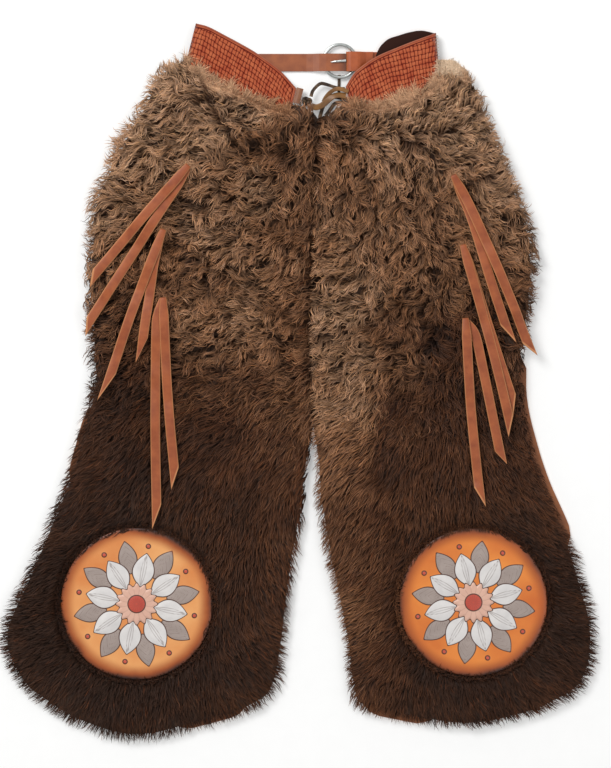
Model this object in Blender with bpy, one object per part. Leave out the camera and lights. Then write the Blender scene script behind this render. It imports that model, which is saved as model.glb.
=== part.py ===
"""Hair-on-hide leather chaps, laid flat on their back with the front up.

Lengths in the tables are millimetres: x runs right from the line where the legs meet, y runs up from
the lowest point of the hem to the waist, z runs up from the surface that the chaps lie on. At the end
the whole garment is moved so that its origin is on that surface, under the middle of its box.
"""

import math
from collections import namedtuple

import bmesh
import bpy
import numpy as np
from mathutils import Matrix, Vector, noise
from mathutils.bvhtree import BVHTree
from mathutils.geometry import delaunay_2d_cdt

MM = 0.001

# Thicknesses and clearances
GAP = 0.3
BACK_THICK = 2.7
HIDE_THICK = 2.7
BELT_THICK = 3.0
STRAP_THICK = 2.4
TIE_THICK = 2.0
PLAQUE_THICK = 3.0
HIDE_BOTTOM = BACK_THICK + GAP

# Belt wings
FOLD_RADIUS = 4.0
REAR_WING_Z = HIDE_BOTTOM + BELT_THICK / 2
TONGUE_DEPTH = 8.0
PILE_CLEARANCE = 1.0
END_CLEARANCE = 6.0

# Pile of the hide
RIM_HEIGHT = 5.0
BESIDE_BELT_HEIGHT = 12.0
BESIDE_BELT_REACH = 9.0
CURL_SIZE = 34.0
CURL_HEIGHT = 4.2
WAVE_SIZE = 120.0
WAVE_HEIGHT = 2.5
OUTLINE_STEP = 13.0
SURFACE_STEP = 16.5
EDGE_ROW_INSETS = (3.5, 11.0)
BELT_ROW_DROPS = (2.0, 9.0)

# Round plaques
PLAQUE_SEAT_Z = 9.0
PLAQUE_CLEARANCE = 1.0
PLAQUE_BANK = 10.0
PLAQUE_SEGMENTS = 48
SEAT_SEGMENTS = 44
SEAT_FLOOR_SHARE = 0.6
PETALS = 8
EYE_RISE = 1.9

# Saddle ties
TIE_WIDTH = 12.7
TIE_STEP = 17.0
COVER_STEP = 6.0
TIE_LOWEST_Z = 9.0
TIE_MARGIN = 0.15
TIP_HALF_WIDTH = 0.5
ROOT_BEHIND = 3.0
ROOT_AHEAD = 5.0
ROOT_HALF_WIDTH = 5.2

# Buckle ring and its straps
RING_CENTRE = (30.6, 902.8)
RING_OUTSIDE = 47.0
RING_WIRE = 4.0
BILLET_WIDTH = 23.3
CHAPE_WIDTH = 26.0
PRONG_WIRE = 2.6

Section = namedtuple("Section", "height outer inner")
Shoulder = namedtuple("Shoulder", "height outer")
BeltSection = namedtuple("BeltSection", "top_x top_y low_x low_y z")
Trough = namedtuple("Trough", "x0 y0 x1 y1 depth width")
Strand = namedtuple("Strand", "path tip_cut corner_side")
PileRow = namedtuple("PileRow", "height pile rounding")
Bare = namedtuple("Bare", "x0 y0 x1 y1 reach fade")
Ring = namedtuple("Ring", "share rise petal")
PointRow = namedtuple("PointRow", "points apart")

# How high the pile stands above the hide, and how far in its edge rounds over
PILE = [
    PileRow(0, 15, 30),
    PileRow(150, 18, 30),
    PileRow(350, 20, 30),
    PileRow(500, 24, 28),
    PileRow(620, 30, 24),
    PileRow(740, 33, 22),
    PileRow(860, 30, 20),
    PileRow(910, 20, 16),
]

# Legs, a row for each section across the leg
LEG_LEFT = [
    Section(824, -246, -1.0),
    Section(728, -295, -1.0),
    Section(665, -304, -1.4),
    Section(600, -307, -2.0),
    Section(537, -303, -2.8),
    Section(473, -301, -3.6),
    Section(410, -316, -4.6),
    Section(346, -335, -12),
    Section(282, -361, -20),
    Section(218, -388, -31),
    Section(138, -420, -41),
    Section(74, -396, -52),
    Section(43, -357, -80),
    Section(20, -318, -150),
]
LEG_LEFT_HEM = (-242, 0)
LEG_LEFT_SHOULDER = [
    Shoulder(907, -187),
    Shoulder(888, -213),
    Shoulder(856, -229),
]
LEG_LEFT_CROTCH = [(-4, 829), (-17, 839)]
LEG_LEFT_BESIDE_FOLD = [(-181, 908)]

LEG_RIGHT = [
    Section(824, 233, 0.0),
    Section(728, 270, 0.0),
    Section(665, 288, -0.4),
    Section(600, 289, -1.0),
    Section(537, 279, -1.8),
    Section(473, 275, -2.6),
    Section(410, 284, -3.6),
    Section(346, 304, -3.0),
    Section(282, 331, 6),
    Section(218, 353, 18),
    Section(138, 371, 34),
    Section(74, 357, 43),
    Section(43, 313, 54),
    Section(26, 266, 120),
]
LEG_RIGHT_HEM = (200, 15)
LEG_RIGHT_SHOULDER = [
    Shoulder(892, 199),
    Shoulder(856, 220),
]
LEG_RIGHT_CROTCH = [(6, 823), (17, 827), (25, 835), (35, 841)]
LEG_RIGHT_BESIDE_FOLD = [(166.2, 884), (164.4, 903), (180, 904)]

# Long soft valleys where the pile parts over the folds of the thigh and at the knee
TROUGHS_LEFT = [
    Trough(-136, 838, -182, 718, 8, 15),
    Trough(-182, 718, -193, 590, 6, 14),
    Trough(-225, 596, -296, 584, 7, 18),
    Trough(-92, 590, -22, 548, 4, 18),
    Trough(-150, 470, -232, 452, 3, 16),
    Trough(-40, 390, -70, 300, 3, 14),
]
TROUGHS_RIGHT = [
    Trough(184, 812, 197, 668, 6, 15),
    Trough(208, 566, 280, 550, 8, 18),
    Trough(84, 440, 82, 360, 4, 12),
    Trough(28, 628, 108, 584, 4, 18),
    Trough(120, 470, 190, 452, 3, 16),
]

# Back panels stay this far inside the pile's outline, and reach past it where bare leather shows
BACK_INSET = 14.0
BARE_EDGES_LEFT = [
    Bare(-312, 425, -330, 366, 1.0, 26),
    Bare(-168, 22, -112, 36, 2.5, 22),
]
BARE_EDGES_RIGHT = [
    Bare(281, 490, 290, 400, 6.0, 24),
    Bare(290, 400, 334, 280, 6.0, 24),
    Bare(80, 38, 134, 26, 3.0, 22),
]
BACK_TOP = 796.0
BACK_TOP_EDGE_LEFT = [(-16, 800), (-32, 822), (-62, 850), (-92, 876), (-128, 890), (-158, 896),
                      (-186, 884), (-208, 856), (-232, 820)]
BACK_TOP_EDGE_RIGHT = [(16, 800), (34, 822), (62, 846), (84, 868), (112, 877), (150, 876), (161, 888),
                       (165, 906), (180, 905.2), (192, 897.5), (200.5, 892), (206, 868), (217, 830)]

# Belt, from the laced end to the fold at the hip
BELT_LEFT_FRONT = [
    BeltSection(-27.3, 867.2, -35.9, 835.2, 7.8),
    BeltSection(-49.2, 891.1, -61.2, 840.6, 7.8),
    BeltSection(-75.8, 911.1, -87.8, 852.5, 8.0),
    BeltSection(-95.1, 923.0, -111.7, 863.2, 8.8),
    BeltSection(-125.0, 939.0, -138.3, 873.8, 10.4),
    BeltSection(-145.0, 949.0, -157.0, 888.0, 12.0),
    BeltSection(-158.1, 952.5, -170.1, 905.5, 12.5),
]
BELT_LEFT_REAR = [
    BeltSection(-158.1, 952.5, -170.1, 905.5, 4.5),
    BeltSection(-134.0, 936.0, -148.0, 896.5, 4.5),
    BeltSection(-102.4, 918.5, -118.0, 884.0, 4.5),
    BeltSection(-78.0, 911.0, -88.0, 874.0, 4.5),
]
BELT_RIGHT_FRONT = [
    BeltSection(37.9, 869.2, 45.2, 844.6, 7.8),
    BeltSection(49.2, 887.1, 65.2, 841.9, 11.3),
    BeltSection(61.2, 897.8, 86.5, 841.9, 11.8),
    BeltSection(79.8, 909.7, 107.7, 845.9, 11.4),
    BeltSection(104.4, 920.4, 127.7, 852.5, 11.4),
    BeltSection(130.0, 930.5, 145.0, 862.0, 12.1),
    BeltSection(152.8, 939.0, 159.4, 876.5, 12.5),
]
BELT_RIGHT_REAR = [
    BeltSection(152.8, 939.0, 159.4, 876.5, 4.5),
    BeltSection(140.0, 944.5, 145.0, 873.5, 4.5),
    BeltSection(124.0, 942.5, 128.0, 868.5, 4.5),
    BeltSection(107.7, 937.7, 113.1, 866.5, 4.5),
    BeltSection(94.5, 933.0, 99.8, 866.5, 4.5),
    BeltSection(84.0, 923.0, 89.0, 869.5, 4.5),
    BeltSection(78.5, 912.0, 80.0, 877.0, 4.5),
]

# Round plaques: middle and radius
PLAQUE_LEFT = ((-239.9, 180.9), 101.0)
PLAQUE_RIGHT = ((208.1, 183.0), 98.4)

# Rosette on a plaque: how far its face rises in each ring, and how much more along a petal
ROSETTE = [
    Ring(0.07, 1.6, 0),
    Ring(0.16, 1.6, 0),
    Ring(0.25, 0.3, 0.4),
    Ring(0.36, 0.3, 1.0),
    Ring(0.47, 0.3, 1.3),
    Ring(0.58, 0.3, 1.1),
    Ring(0.68, 0.3, 0.5),
    Ring(0.80, 0.0, 0),
    Ring(0.86, 1.0, 0),
    Ring(0.92, 0.0, 0),
    Ring(1.00, 0.0, 0),
]

# Saddle ties: the upper strip of each pair, then the one under it
TIES = {
    "tie_left_top": [
        Strand([(-170, 763), (-240, 682), (-305.9, 605.1)], 21, -1),
        Strand([(-171, 758), (-203, 708), (-312.6, 540.0)], 23, -1),
    ],
    "tie_left_middle": [
        Strand([(-203, 678), (-246, 566), (-285.5, 449.5)], 41, 1),
        Strand([(-205, 676), (-215, 637), (-222.2, 588), (-228.8, 545), (-234, 500.7)], 35, 1),
    ],
    "tie_left_low": [
        Strand([(-203.5, 587.9), (-198, 460), (-186.9, 333.8)], 29, 1),
        Strand([(-204.5, 587), (-210.5, 566), (-213, 540), (-214.5, 420), (-212.5, 280.6)], 33, 1),
    ],
    "tie_right_top": [
        Strand([(180, 750), (203.5, 706), (248, 606), (287, 509)], 22, -1),
        Strand([(181, 748), (204, 694), (230, 610), (258.5, 526)], 29, -1),
    ],
    "tie_right_middle": [
        Strand([(192.9, 658), (229.5, 530), (260, 404.3)], 27, 1),
        Strand([(193.9, 656), (237, 520), (266, 432.2)], 27, 1),
    ],
    "tie_right_low": [
        Strand([(196.5, 561), (204, 440), (217.5, 309.9)], 27, -1),
        Strand([(197.8, 557.3), (209.5, 538.6), (220.5, 490), (246, 365.8)], 20, -1),
    ],
}

# Front lace: route of each strand, as x, y, z of its middle
LACE_WIDE = 5.0
LACE_THIN = 3.0
LACE_END = 4.0
LACE_ROUTES = {
    "lace_arch": (LACE_THIN, [
        (-8.0, 856.2, 9.5), (-6.0, 863.0, 9.5), (-1.0, 869.5, 9.0), (5.0, 873.6, 9.0),
        (12.0, 872.6, 9.0), (21.3, 869.6, 9.0), (30.6, 867.2, 8.5), (37.0, 866.8, 7.8),
    ]),
    "lace_band": (LACE_WIDE, [
        (-6.9, 843.4, 8.2), (0.0, 842.2, 8.4), (8.0, 845.6, 9.2), (15.0, 851.8, 9.4),
        (22.0, 857.8, 9.2), (29.4, 860.2, 8.6), (38.4, 859.6, 7.8),
    ]),
    "lace_end_left": (LACE_END, [
        (40.9, 853.8, 7.8), (36.0, 853.8, 5.6), (28.0, 855.5, 3.0), (19.0, 856.5, 2.4),
        (11.5, 851.0, 2.4), (8.0, 843.0, 2.4), (5.5, 835.5, 2.4), (3.5, 828.5, 2.4),
    ]),
    "lace_end_right": (LACE_END, [
        (42.9, 847.4, 7.8), (38.0, 848.2, 5.6), (31.9, 849.5, 3.0), (24.0, 847.5, 2.4),
        (19.0, 841.5, 2.4), (14.5, 835.5, 2.4), (11.0, 831.0, 2.4),
    ]),
}
KNOT_CENTRE = (-13.6, 850.5, 8.2)
KNOT_RADII = (7.4, 6.2, 5.0)
LACE_TAIL = [(29.7, 886.0), (29.2, 862.6)]
LACE_TAIL_WIDTH = 4.0
LACE_TAIL_THICK = 1.0
KEEPER_ENDS = [(-27.6, 847.6), (-22.3, 867.4)]
KEEPER_WIDTH = 9.0
KEEPER_THICK = 4.6
KEEPER_Z = 9.1
KEEPER_CROWN = 0.35


def material(name, colour, roughness, metallic=0.0):
    """A plain Principled material; colour is linear red, green, blue."""
    made = bpy.data.materials.new(name)
    made.use_nodes = True
    shader = made.node_tree.nodes["Principled BSDF"]
    shader.inputs["Base Color"].default_value = (*colour, 1.0)
    shader.inputs["Roughness"].default_value = roughness
    shader.inputs["Metallic"].default_value = metallic
    return made


def mesh_object(name, points, faces, finish, parent, smooth=True):
    """An object from points in millimetres and faces, with its normals turned outwards."""
    mesh = bpy.data.meshes.new(name)
    mesh.from_pydata([Vector(p) * MM for p in points], [], faces)
    shape = bmesh.new()
    shape.from_mesh(mesh)
    bmesh.ops.recalc_face_normals(shape, faces=shape.faces)
    shape.to_mesh(mesh)
    shape.free()
    if smooth:
        mesh.shade_smooth()
        mesh.set_sharp_from_angle(angle=math.radians(40))
    mesh.materials.append(finish)
    made = bpy.data.objects.new(name, mesh)
    bpy.context.scene.collection.objects.link(made)
    made.parent = parent
    return made


def smooth_curve(points, steps=12):
    """A Catmull-Rom curve through the points, as an array with one row a point."""
    given = np.array(points, float)
    padded = np.vstack([2 * given[0] - given[1], given, 2 * given[-1] - given[-2]])
    t = np.linspace(0, 1, steps, endpoint=False)[:, None]
    runs = []
    for a, b, c, d in zip(padded, padded[1:], padded[2:], padded[3:]):
        runs.append(0.5 * (2 * b + (c - a) * t + (2 * a - 5 * b + 4 * c - d) * t**2
                           + (3 * b - a - 3 * c + d) * t**3))
    return np.vstack(runs + [given[-1:]])


def resample(line, step):
    """Points about one step apart along a line, with both of its ends."""
    length = np.r_[0, np.cumsum(np.linalg.norm(np.diff(line, axis=0), axis=1))]
    count = max(int(round(length[-1] / step)), 1) + 1
    places = np.linspace(0, length[-1], count)
    return np.stack([np.interp(places, length, axis) for axis in line.T], 1)


def unit(vectors):
    """Vectors of length one, along the last axis."""
    return vectors / np.linalg.norm(vectors, axis=-1, keepdims=True)


def distance_to_line(points, line):
    """How far each point is from an open line of straight runs."""
    nearest = np.full(len(points), np.inf)
    for a, b in zip(line, line[1:]):
        along = b - a
        share = ((points - a) @ along / (along @ along)).clip(0, 1)
        nearest = np.minimum(nearest, np.linalg.norm(points - a - share[:, None] * along, axis=1))
    return nearest


def is_inside(points, loop):
    """Whether each point is inside a closed loop, by counting the edges to its right."""
    x, y = points[:, 0], points[:, 1]
    inside = np.zeros(len(points), bool)
    for (x0, y0), (x1, y1) in zip(loop, np.roll(loop, -1, axis=0)):
        crosses = (y0 > y) != (y1 > y)
        if y0 != y1:
            inside ^= crosses & (x < (x1 - x0) * (y - y0) / (y1 - y0) + x0)
    return inside


def sheet_solid(name, middle, facing, thick, finish, parent):
    """A wall of even thickness about a grid of middle points with a facing for each."""
    upper = middle + facing * thick / 2
    lower = middle - facing * thick / 2
    rows, columns = middle.shape[:2]
    count = rows * columns
    index = np.arange(count).reshape(rows, columns)
    faces = []
    for i in range(rows - 1):
        for j in range(columns - 1):
            quad = [index[i, j], index[i + 1, j], index[i + 1, j + 1], index[i, j + 1]]
            faces.append([int(k) for k in quad])
            faces.append([int(k) + count for k in reversed(quad)])
    rim = list(index[:, 0]) + list(index[-1, 1:]) + list(index[-2::-1, -1]) + list(index[0, -2:0:-1])
    for a, b in zip(rim, rim[1:] + rim[:1]):
        faces.append([int(b), int(a), int(a) + count, int(b) + count])
    points = np.vstack([upper.reshape(-1, 3), lower.reshape(-1, 3)])
    return mesh_object(name, points, faces, finish, parent)


def belt_edges(sections, t):
    """Top edge, lower edge and height of a belt wing at shares t of its length."""
    table = smooth_curve([(s.top_x, s.top_y, s.low_x, s.low_y, s.z) for s in sections])
    places = np.linspace(0, 1, len(table))
    row = np.stack([np.interp(t, places, axis) for axis in table.T], -1)
    return row[..., 0:2], row[..., 2:4], row[..., 4]


def belt_half(name, front, rear, outwards, finish, parent):
    """Front wing, fold at the hip and rear wing as one bent wall of stamped leather."""
    across = np.linspace(0, 1, 5)[None, :, None]
    up = np.array([0.0, 0.0, 1.0])

    def wing(sections, count, side):
        top, low, z = belt_edges(sections, np.linspace(0, 1, count))
        flat = top[:, None] * (1 - across) + low[:, None] * across
        level = np.broadcast_to(z[:, None, None], flat.shape[:2] + (1,))
        grid = np.concatenate([flat, level], 2)
        return grid, np.broadcast_to(up * side, grid.shape)

    front_grid, front_facing = wing(front, 13, 1)
    rear_grid, rear_facing = wing(rear, 9, -1)
    edge = front_grid[-1, -1] - front_grid[-1, 0]
    out = unit(np.cross(edge, up)) * outwards
    turn = np.radians(np.linspace(90, -90, 9))[1:-1, None, None]
    fold_facing = out * np.cos(turn) + up * np.sin(turn)
    fold_facing = np.broadcast_to(fold_facing, (turn.shape[0], across.shape[1], 3))
    axis = front_grid[-1] * [1, 1, 0] + up * (REAR_WING_Z + FOLD_RADIUS)
    fold_grid = axis[None] + fold_facing * FOLD_RADIUS
    middle = np.concatenate([front_grid, fold_grid, rear_grid])
    facing = np.concatenate([front_facing, fold_facing, rear_facing])
    return sheet_solid(name, middle, facing, BELT_THICK, finish, parent)


def belt_shadow(front, count):
    """The line just below a wing's lower edge, where the pile starts, from lace to fold.

    Its first point stands up beside the laced end, so that the pile also keeps clear of that end."""
    top, low, _ = belt_edges(front, np.linspace(0, 1, count))
    below = low - unit(top - low) * PILE_CLEARANCE
    beyond = below[0] + [math.copysign(END_CLEARANCE, low[0, 0] - low[-1, 0]), 0]
    return np.vstack([beyond + [0, 2 * TONGUE_DEPTH], beyond, below])


def leg_outline(leg, hem, shoulder, crotch, beside_fold, front):
    """The closed outline of a leg's hide, with a tongue that goes in under the belt."""
    t = np.linspace(0.05, 0.88, 14)
    top, low, _ = belt_edges(front, t)
    tongue = low + unit(top - low) * (TONGUE_DEPTH * (1 - t**3))[:, None]
    top, low, _ = belt_edges(front, np.array([1.0]))
    fold_out = np.sign(low[0, 0]) * (FOLD_RADIUS + BELT_THICK / 2)
    corner = low - unit(top - low) * 1.4 + [fold_out * 0.4, 0]
    top_edge = np.vstack([[(leg[0].inner, leg[0].height)], crotch, tongue, corner, beside_fold])
    shoulder_edge = [(s.outer, s.height) for s in shoulder]
    outer = shoulder_edge + [(s.outer, s.height) for s in leg]
    inner = [(s.inner, s.height) for s in reversed(leg)]
    side = resample(smooth_curve(outer + [hem] + inner), OUTLINE_STEP)
    upper = resample(top_edge, OUTLINE_STEP * 0.75)
    joint = resample(np.array([upper[-1], side[0]]), OUTLINE_STEP)
    return np.vstack([upper[:-1], joint[:-1], side[:-1]])


def pile_top(points, outline, shadow, troughs, plaque, seed):
    """Height of the pile's surface over each point of a leg."""
    x, y = points[:, 0], points[:, 1]
    table = np.array(PILE, float)
    pile = np.interp(y, table[:, 0], table[:, 1])
    rounding = np.interp(y, table[:, 0], table[:, 2])
    from_edge = distance_to_line(points, np.vstack([outline, outline[:1]]))
    near = (from_edge / rounding).clip(0, 1)
    dome = np.sqrt(1 - (1 - near) ** 2)
    curly = np.interp(y, [250, 620], [0.45, 1.0])
    bumps = np.zeros(len(points))
    for i, (px, py) in enumerate(points):
        curl = noise.noise(Vector((px / CURL_SIZE, py / CURL_SIZE, seed)))
        wave = noise.noise(Vector((px / WAVE_SIZE, py / WAVE_SIZE, seed + 7)))
        bumps[i] = 2 * CURL_HEIGHT * curly[i] * curl + 2 * WAVE_HEIGHT * wave
    for trough in troughs:
        run = np.array([(trough.x0, trough.y0), (trough.x1, trough.y1)], float)
        bumps -= trough.depth * np.exp(-((distance_to_line(points, run) / trough.width) ** 2))
    height = RIM_HEIGHT + (pile - RIM_HEIGHT) * dome + bumps * dome
    # The pile starts at the belt's lower edge and is bare hide under the belt.
    order = 1 + np.argsort(shadow[1:, 0])
    level = np.interp(x, shadow[order, 0], shadow[order, 1], left=np.inf, right=np.inf)
    from_belt = distance_to_line(points, shadow)
    ramp = (from_belt / BESIDE_BELT_REACH).clip(0, 1) ** 0.6
    height = BESIDE_BELT_HEIGHT * (1 - ramp) + height * ramp
    under_belt = (y > level - 0.01) | (from_belt < 0.05)
    # A round seat for the plaque, with banked sides.
    (cx, cy), radius = plaque
    bank = ((np.hypot(x - cx, y - cy) - radius - PLAQUE_CLEARANCE) / PLAQUE_BANK).clip(0, 1)
    seat = PLAQUE_SEAT_Z - HIDE_BOTTOM
    height = np.where(bank < 1, seat + (height - seat) * bank**0.7, height)
    height = np.where(under_belt, HIDE_THICK, height)
    return HIDE_BOTTOM + np.maximum(height, HIDE_THICK)


def circle(centre, radius, count):
    """Points round a circle."""
    turn = np.linspace(0, 2 * np.pi, count, endpoint=False)
    return np.stack([centre[0] + radius * np.cos(turn), centre[1] + radius * np.sin(turn)], 1)


def inward(outline):
    """For each point of a closed outline, the direction into it."""
    along = unit(np.roll(outline, -1, axis=0) - np.roll(outline, 1, axis=0))
    side = np.stack([-along[:, 1], along[:, 0]], 1)
    return side if is_inside(outline + side, outline).mean() > 0.5 else -side


def surface_points(outline, shadow, plaque):
    """Points inside a leg's outline: rings round the plaque, rows along the edges, an even spread."""
    closed = np.vstack([outline, outline[:1]])
    centre, radius = plaque
    seat_radius = radius + PLAQUE_CLEARANCE
    seat = np.vstack([
        circle(centre, seat_radius, SEAT_SEGMENTS),
        circle(centre, seat_radius + PLAQUE_BANK, SEAT_SEGMENTS),
        circle(centre, seat_radius * SEAT_FLOOR_SHARE, SEAT_SEGMENTS // 3),
        [centre],
    ])
    inwards = inward(outline)
    run = unit(np.gradient(shadow, axis=0))
    down = np.stack([run[:, 1], -run[:, 0]], 1)
    down *= -np.sign(down[:, 1:2])
    low, high = outline.min(0), outline.max(0)
    across = np.arange(low[0], high[0], SURFACE_STEP)
    spread = []
    for k, level in enumerate(np.arange(low[1], high[1], SURFACE_STEP * math.sqrt(3) / 2)):
        shift = SURFACE_STEP / 2 * (k % 2)
        spread += [(x + shift, level) for x in across]
    rows = [
        PointRow(outline + inwards * EDGE_ROW_INSETS[0], 3.2),
        PointRow(shadow + down * BELT_ROW_DROPS[0], 1.8),
        PointRow(shadow + down * BELT_ROW_DROPS[1], 5.0),
        PointRow(outline + inwards * EDGE_ROW_INSETS[1], 5.5),
        PointRow(np.array(spread), SURFACE_STEP * 0.62),
    ]
    kept = seat
    for points, apart in rows:
        free = is_inside(points, outline)
        free &= distance_to_line(points, closed) > min(apart, 3.2) * 0.95
        free &= distance_to_line(points, shadow) > min(apart, 4.0) * 0.95
        free &= np.hypot(*(points - centre).T) > seat_radius + PLAQUE_BANK + apart * 0.6
        points = points[free]
        far = np.linalg.norm(points[:, None] - kept[None], axis=2).min(1) > apart
        kept = np.vstack([kept, points[far]])
    return kept[distance_to_line(kept, closed) > 2.8]


def leg_fur(name, outline, shadow, troughs, plaque, seed, finish, parent):
    """A leg's hide with its pile: flat underneath, rounded at its edges and lumpy on top."""
    inside = surface_points(outline, shadow, plaque)
    edge_count = len(outline)
    line = shadow[is_inside(shadow, outline)]
    line = line[distance_to_line(line, np.vstack([outline, outline[:1]])) > 0.6]
    flat = np.vstack([outline, line, inside])
    edges = [(edge_count + i, edge_count + i + 1) for i in range(len(line) - 1)]
    loop = list(range(edge_count))
    spots, _, triangles, origin, _, _ = delaunay_2d_cdt(
        [Vector(p) for p in flat], edges, [loop], 1, 1e-5)
    plan = np.array([tuple(p) for p in spots])
    top = pile_top(plan, outline, shadow, troughs, plaque, seed)
    points = [(*p, z) for p, z in zip(plan, top)]
    place = {old: new for new, olds in enumerate(origin) for old in olds}
    rim = [place[i] for i in loop]
    base = len(points)
    points += [(*plan[i], HIDE_BOTTOM) for i in rim]
    faces = [list(t) for t in triangles]
    faces.append([base + i for i in range(edge_count)])
    for i in range(edge_count):
        after = (i + 1) % edge_count
        faces.append([base + i, base + after, rim[after], rim[i]])
    return mesh_object(name, points, faces, finish, parent)


def leg_back(name, outline, bare_edges, top_edge, finish, parent):
    """A back panel: a flat piece of leather inside the pile's outline, but for its bare edges."""
    inset = np.full(len(outline), BACK_INSET)
    for bare in bare_edges:
        run = np.array([(bare.x0, bare.y0), (bare.x1, bare.y1)], float)
        near = np.exp(-((distance_to_line(outline, run) / bare.fade) ** 2))
        inset = np.minimum(inset, BACK_INSET - (BACK_INSET + bare.reach) * near)
    panel = outline + inward(outline) * inset[:, None]
    closed = np.vstack([outline, outline[:1]])
    clear = distance_to_line(panel, closed) > np.abs(inset) * 0.85
    # The outline runs from the crotch over the top to the outer side, so what is kept below the
    # crotch starts at the outer side and ends at the inner one.
    low_part = panel[clear & (panel[:, 1] < BACK_TOP)]
    loop = np.vstack([low_part, top_edge])
    points = [(*p, 0.0) for p in loop] + [(*p, BACK_THICK) for p in loop]
    count = len(loop)
    faces = [list(range(count)), list(range(count, 2 * count))]
    for i in range(count):
        after = (i + 1) % count
        faces.append([i, after, count + after, count + i])
    return mesh_object(name, points, faces, finish, parent, smooth=False)


def plaque(name, centre, radius, finish, parent):
    """A leather disc with a low rosette: petals swell and fall in rings about a raised eye."""
    base = PLAQUE_SEAT_Z + GAP
    face = base + PLAQUE_THICK
    turns = np.linspace(0, 2 * np.pi, PLAQUE_SEGMENTS, endpoint=False)
    points = [(*centre, face + EYE_RISE)]
    for ring in ROSETTE:
        for turn in turns:
            x = centre[0] + radius * ring.share * math.cos(turn)
            y = centre[1] + radius * ring.share * math.sin(turn)
            petal = 0.5 + 0.5 * math.cos(PETALS * turn)
            points.append((x, y, face + ring.rise + ring.petal * petal))
    count = PLAQUE_SEGMENTS
    faces = []
    for j in range(count):
        after = (j + 1) % count
        faces.append([0, 1 + j, 1 + after])
        for i in range(len(ROSETTE) - 1):
            row = 1 + i * count
            faces.append([row + j, row + count + j, row + count + after, row + after])
    low = len(points)
    last = 1 + (len(ROSETTE) - 1) * count
    points += [(x, y, base) for x, y, _ in points[last:last + count]]
    faces.append([low + j for j in range(count)])
    for j in range(count):
        after = (j + 1) % count
        faces.append([last + j, low + j, low + after, last + after])
    return mesh_object(name, points, faces, finish, parent)


def strap(name, route, width, y_middle, finish, parent):
    """A strap: its route in x and z carried across its width."""
    path = np.array(route, float)
    run = unit(np.gradient(path, axis=0))
    facing = np.stack([-run[:, 1], np.zeros(len(path)), run[:, 0]], 1)
    across = np.linspace(-width / 2, width / 2, 3)
    middle = np.stack([np.stack([path[:, 0], np.full(len(path), y_middle + a), path[:, 1]], 1)
                       for a in across], 1)
    facing = np.broadcast_to(facing[:, None], middle.shape)
    return sheet_solid(name, middle, facing, STRAP_THICK, finish, parent)


def back_strap(leather, steel, parent):
    """Billet, folded chape, ring and prong, between the two rear wings."""
    half = STRAP_THICK / 2
    ring_radius = (RING_OUTSIDE - RING_WIRE) / 2
    tilt = math.atan2(STRAP_THICK + GAP, 2 * ring_radius)
    over_left = RING_WIRE + GAP + half + 0.3
    left_x = RING_CENTRE[0] - ring_radius
    billet = [
        (-104, half), (-80, half), (-50, half), (-20, half), (-8, half + 0.3),
        (left_x - 7, over_left - 1.0), (left_x - 3, over_left), (left_x + 5, over_left),
        (left_x + 15, over_left), (39.2, over_left),
    ]
    billet = resample(smooth_curve(billet), 9.0)
    billet[:, 1] = np.maximum(billet[:, 1], half)
    strap("strap_billet", billet, BILLET_WIDTH, 902.2, leather, parent)

    over_right = STRAP_THICK + GAP + RING_WIRE + GAP + half + 0.15
    loop_radius = (over_right - half) / 2
    fold_x = 40.6 + half + loop_radius
    turn = np.radians(np.linspace(-90, -270, 9))
    fold = [(fold_x + loop_radius * math.cos(a), half + loop_radius + loop_radius * math.sin(a))
            for a in turn]
    returned = half + STRAP_THICK + GAP
    chape = [(112, half), (90, half), (70, half), (fold_x + 4, half)] + fold
    chape += [(54, over_right), (57, over_right - 0.8), (61, returned + 1.8),
              (65, returned + 0.3), (70, returned), (75, returned)]
    strap("strap_chape", chape, CHAPE_WIDTH, 903.3, leather, parent)

    shape = bmesh.new()
    mesh = bpy.data.meshes.new("buckle_ring")
    profile = bmesh.ops.create_circle(shape, segments=10, radius=RING_WIRE / 2 * MM)
    turned = Matrix.Rotation(math.radians(90), 4, "X")
    bmesh.ops.transform(shape, matrix=Matrix.Translation((ring_radius * MM, 0, 0)) @ turned,
                        verts=profile["verts"])
    bmesh.ops.spin(shape, geom=shape.verts[:] + shape.edges[:], axis=(0, 0, 1), cent=(0, 0, 0),
                   steps=40, angle=math.tau, use_merge=True, dvec=(0, 0, 0))
    bmesh.ops.remove_doubles(shape, verts=shape.verts, dist=1e-6)
    bmesh.ops.recalc_face_normals(shape, faces=shape.faces)
    shape.to_mesh(mesh)
    shape.free()
    mesh.shade_smooth()
    mesh.materials.append(steel)
    ring = bpy.data.objects.new("buckle_ring", mesh)
    bpy.context.scene.collection.objects.link(ring)
    ring.parent = parent
    lift = RING_WIRE / 2 + (STRAP_THICK + GAP) / 2 + 0.15
    ring.location = Vector((RING_CENTRE[0], RING_CENTRE[1], lift)) * MM
    ring.rotation_euler = (0, -tilt, 0)

    prong_z = over_left + half + GAP + PRONG_WIRE / 2
    path = np.array([(38.6, 904.2), (32, 903.7), (25, 903.1), (18.6, 902.2)])
    radii = np.array([1.0, 1.0, 0.85, 0.3]) * PRONG_WIRE / 2
    turns = np.linspace(0, 2 * np.pi, 8, endpoint=False)
    points = []
    for (x, y), radius in zip(path, radii):
        for a in turns:
            points.append((x, y + radius * 1.4 * math.cos(a), prong_z + radius * math.sin(a)))
    count = len(turns)
    faces = [list(range(count)), list(range(len(points) - count, len(points)))]
    for i in range(len(path) - 1):
        for j in range(count):
            after = (j + 1) % count
            row = i * count
            faces.append([row + j, row + after, row + count + after, row + count + j])
    mesh_object("buckle_prong", points, faces, steel, parent)


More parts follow.
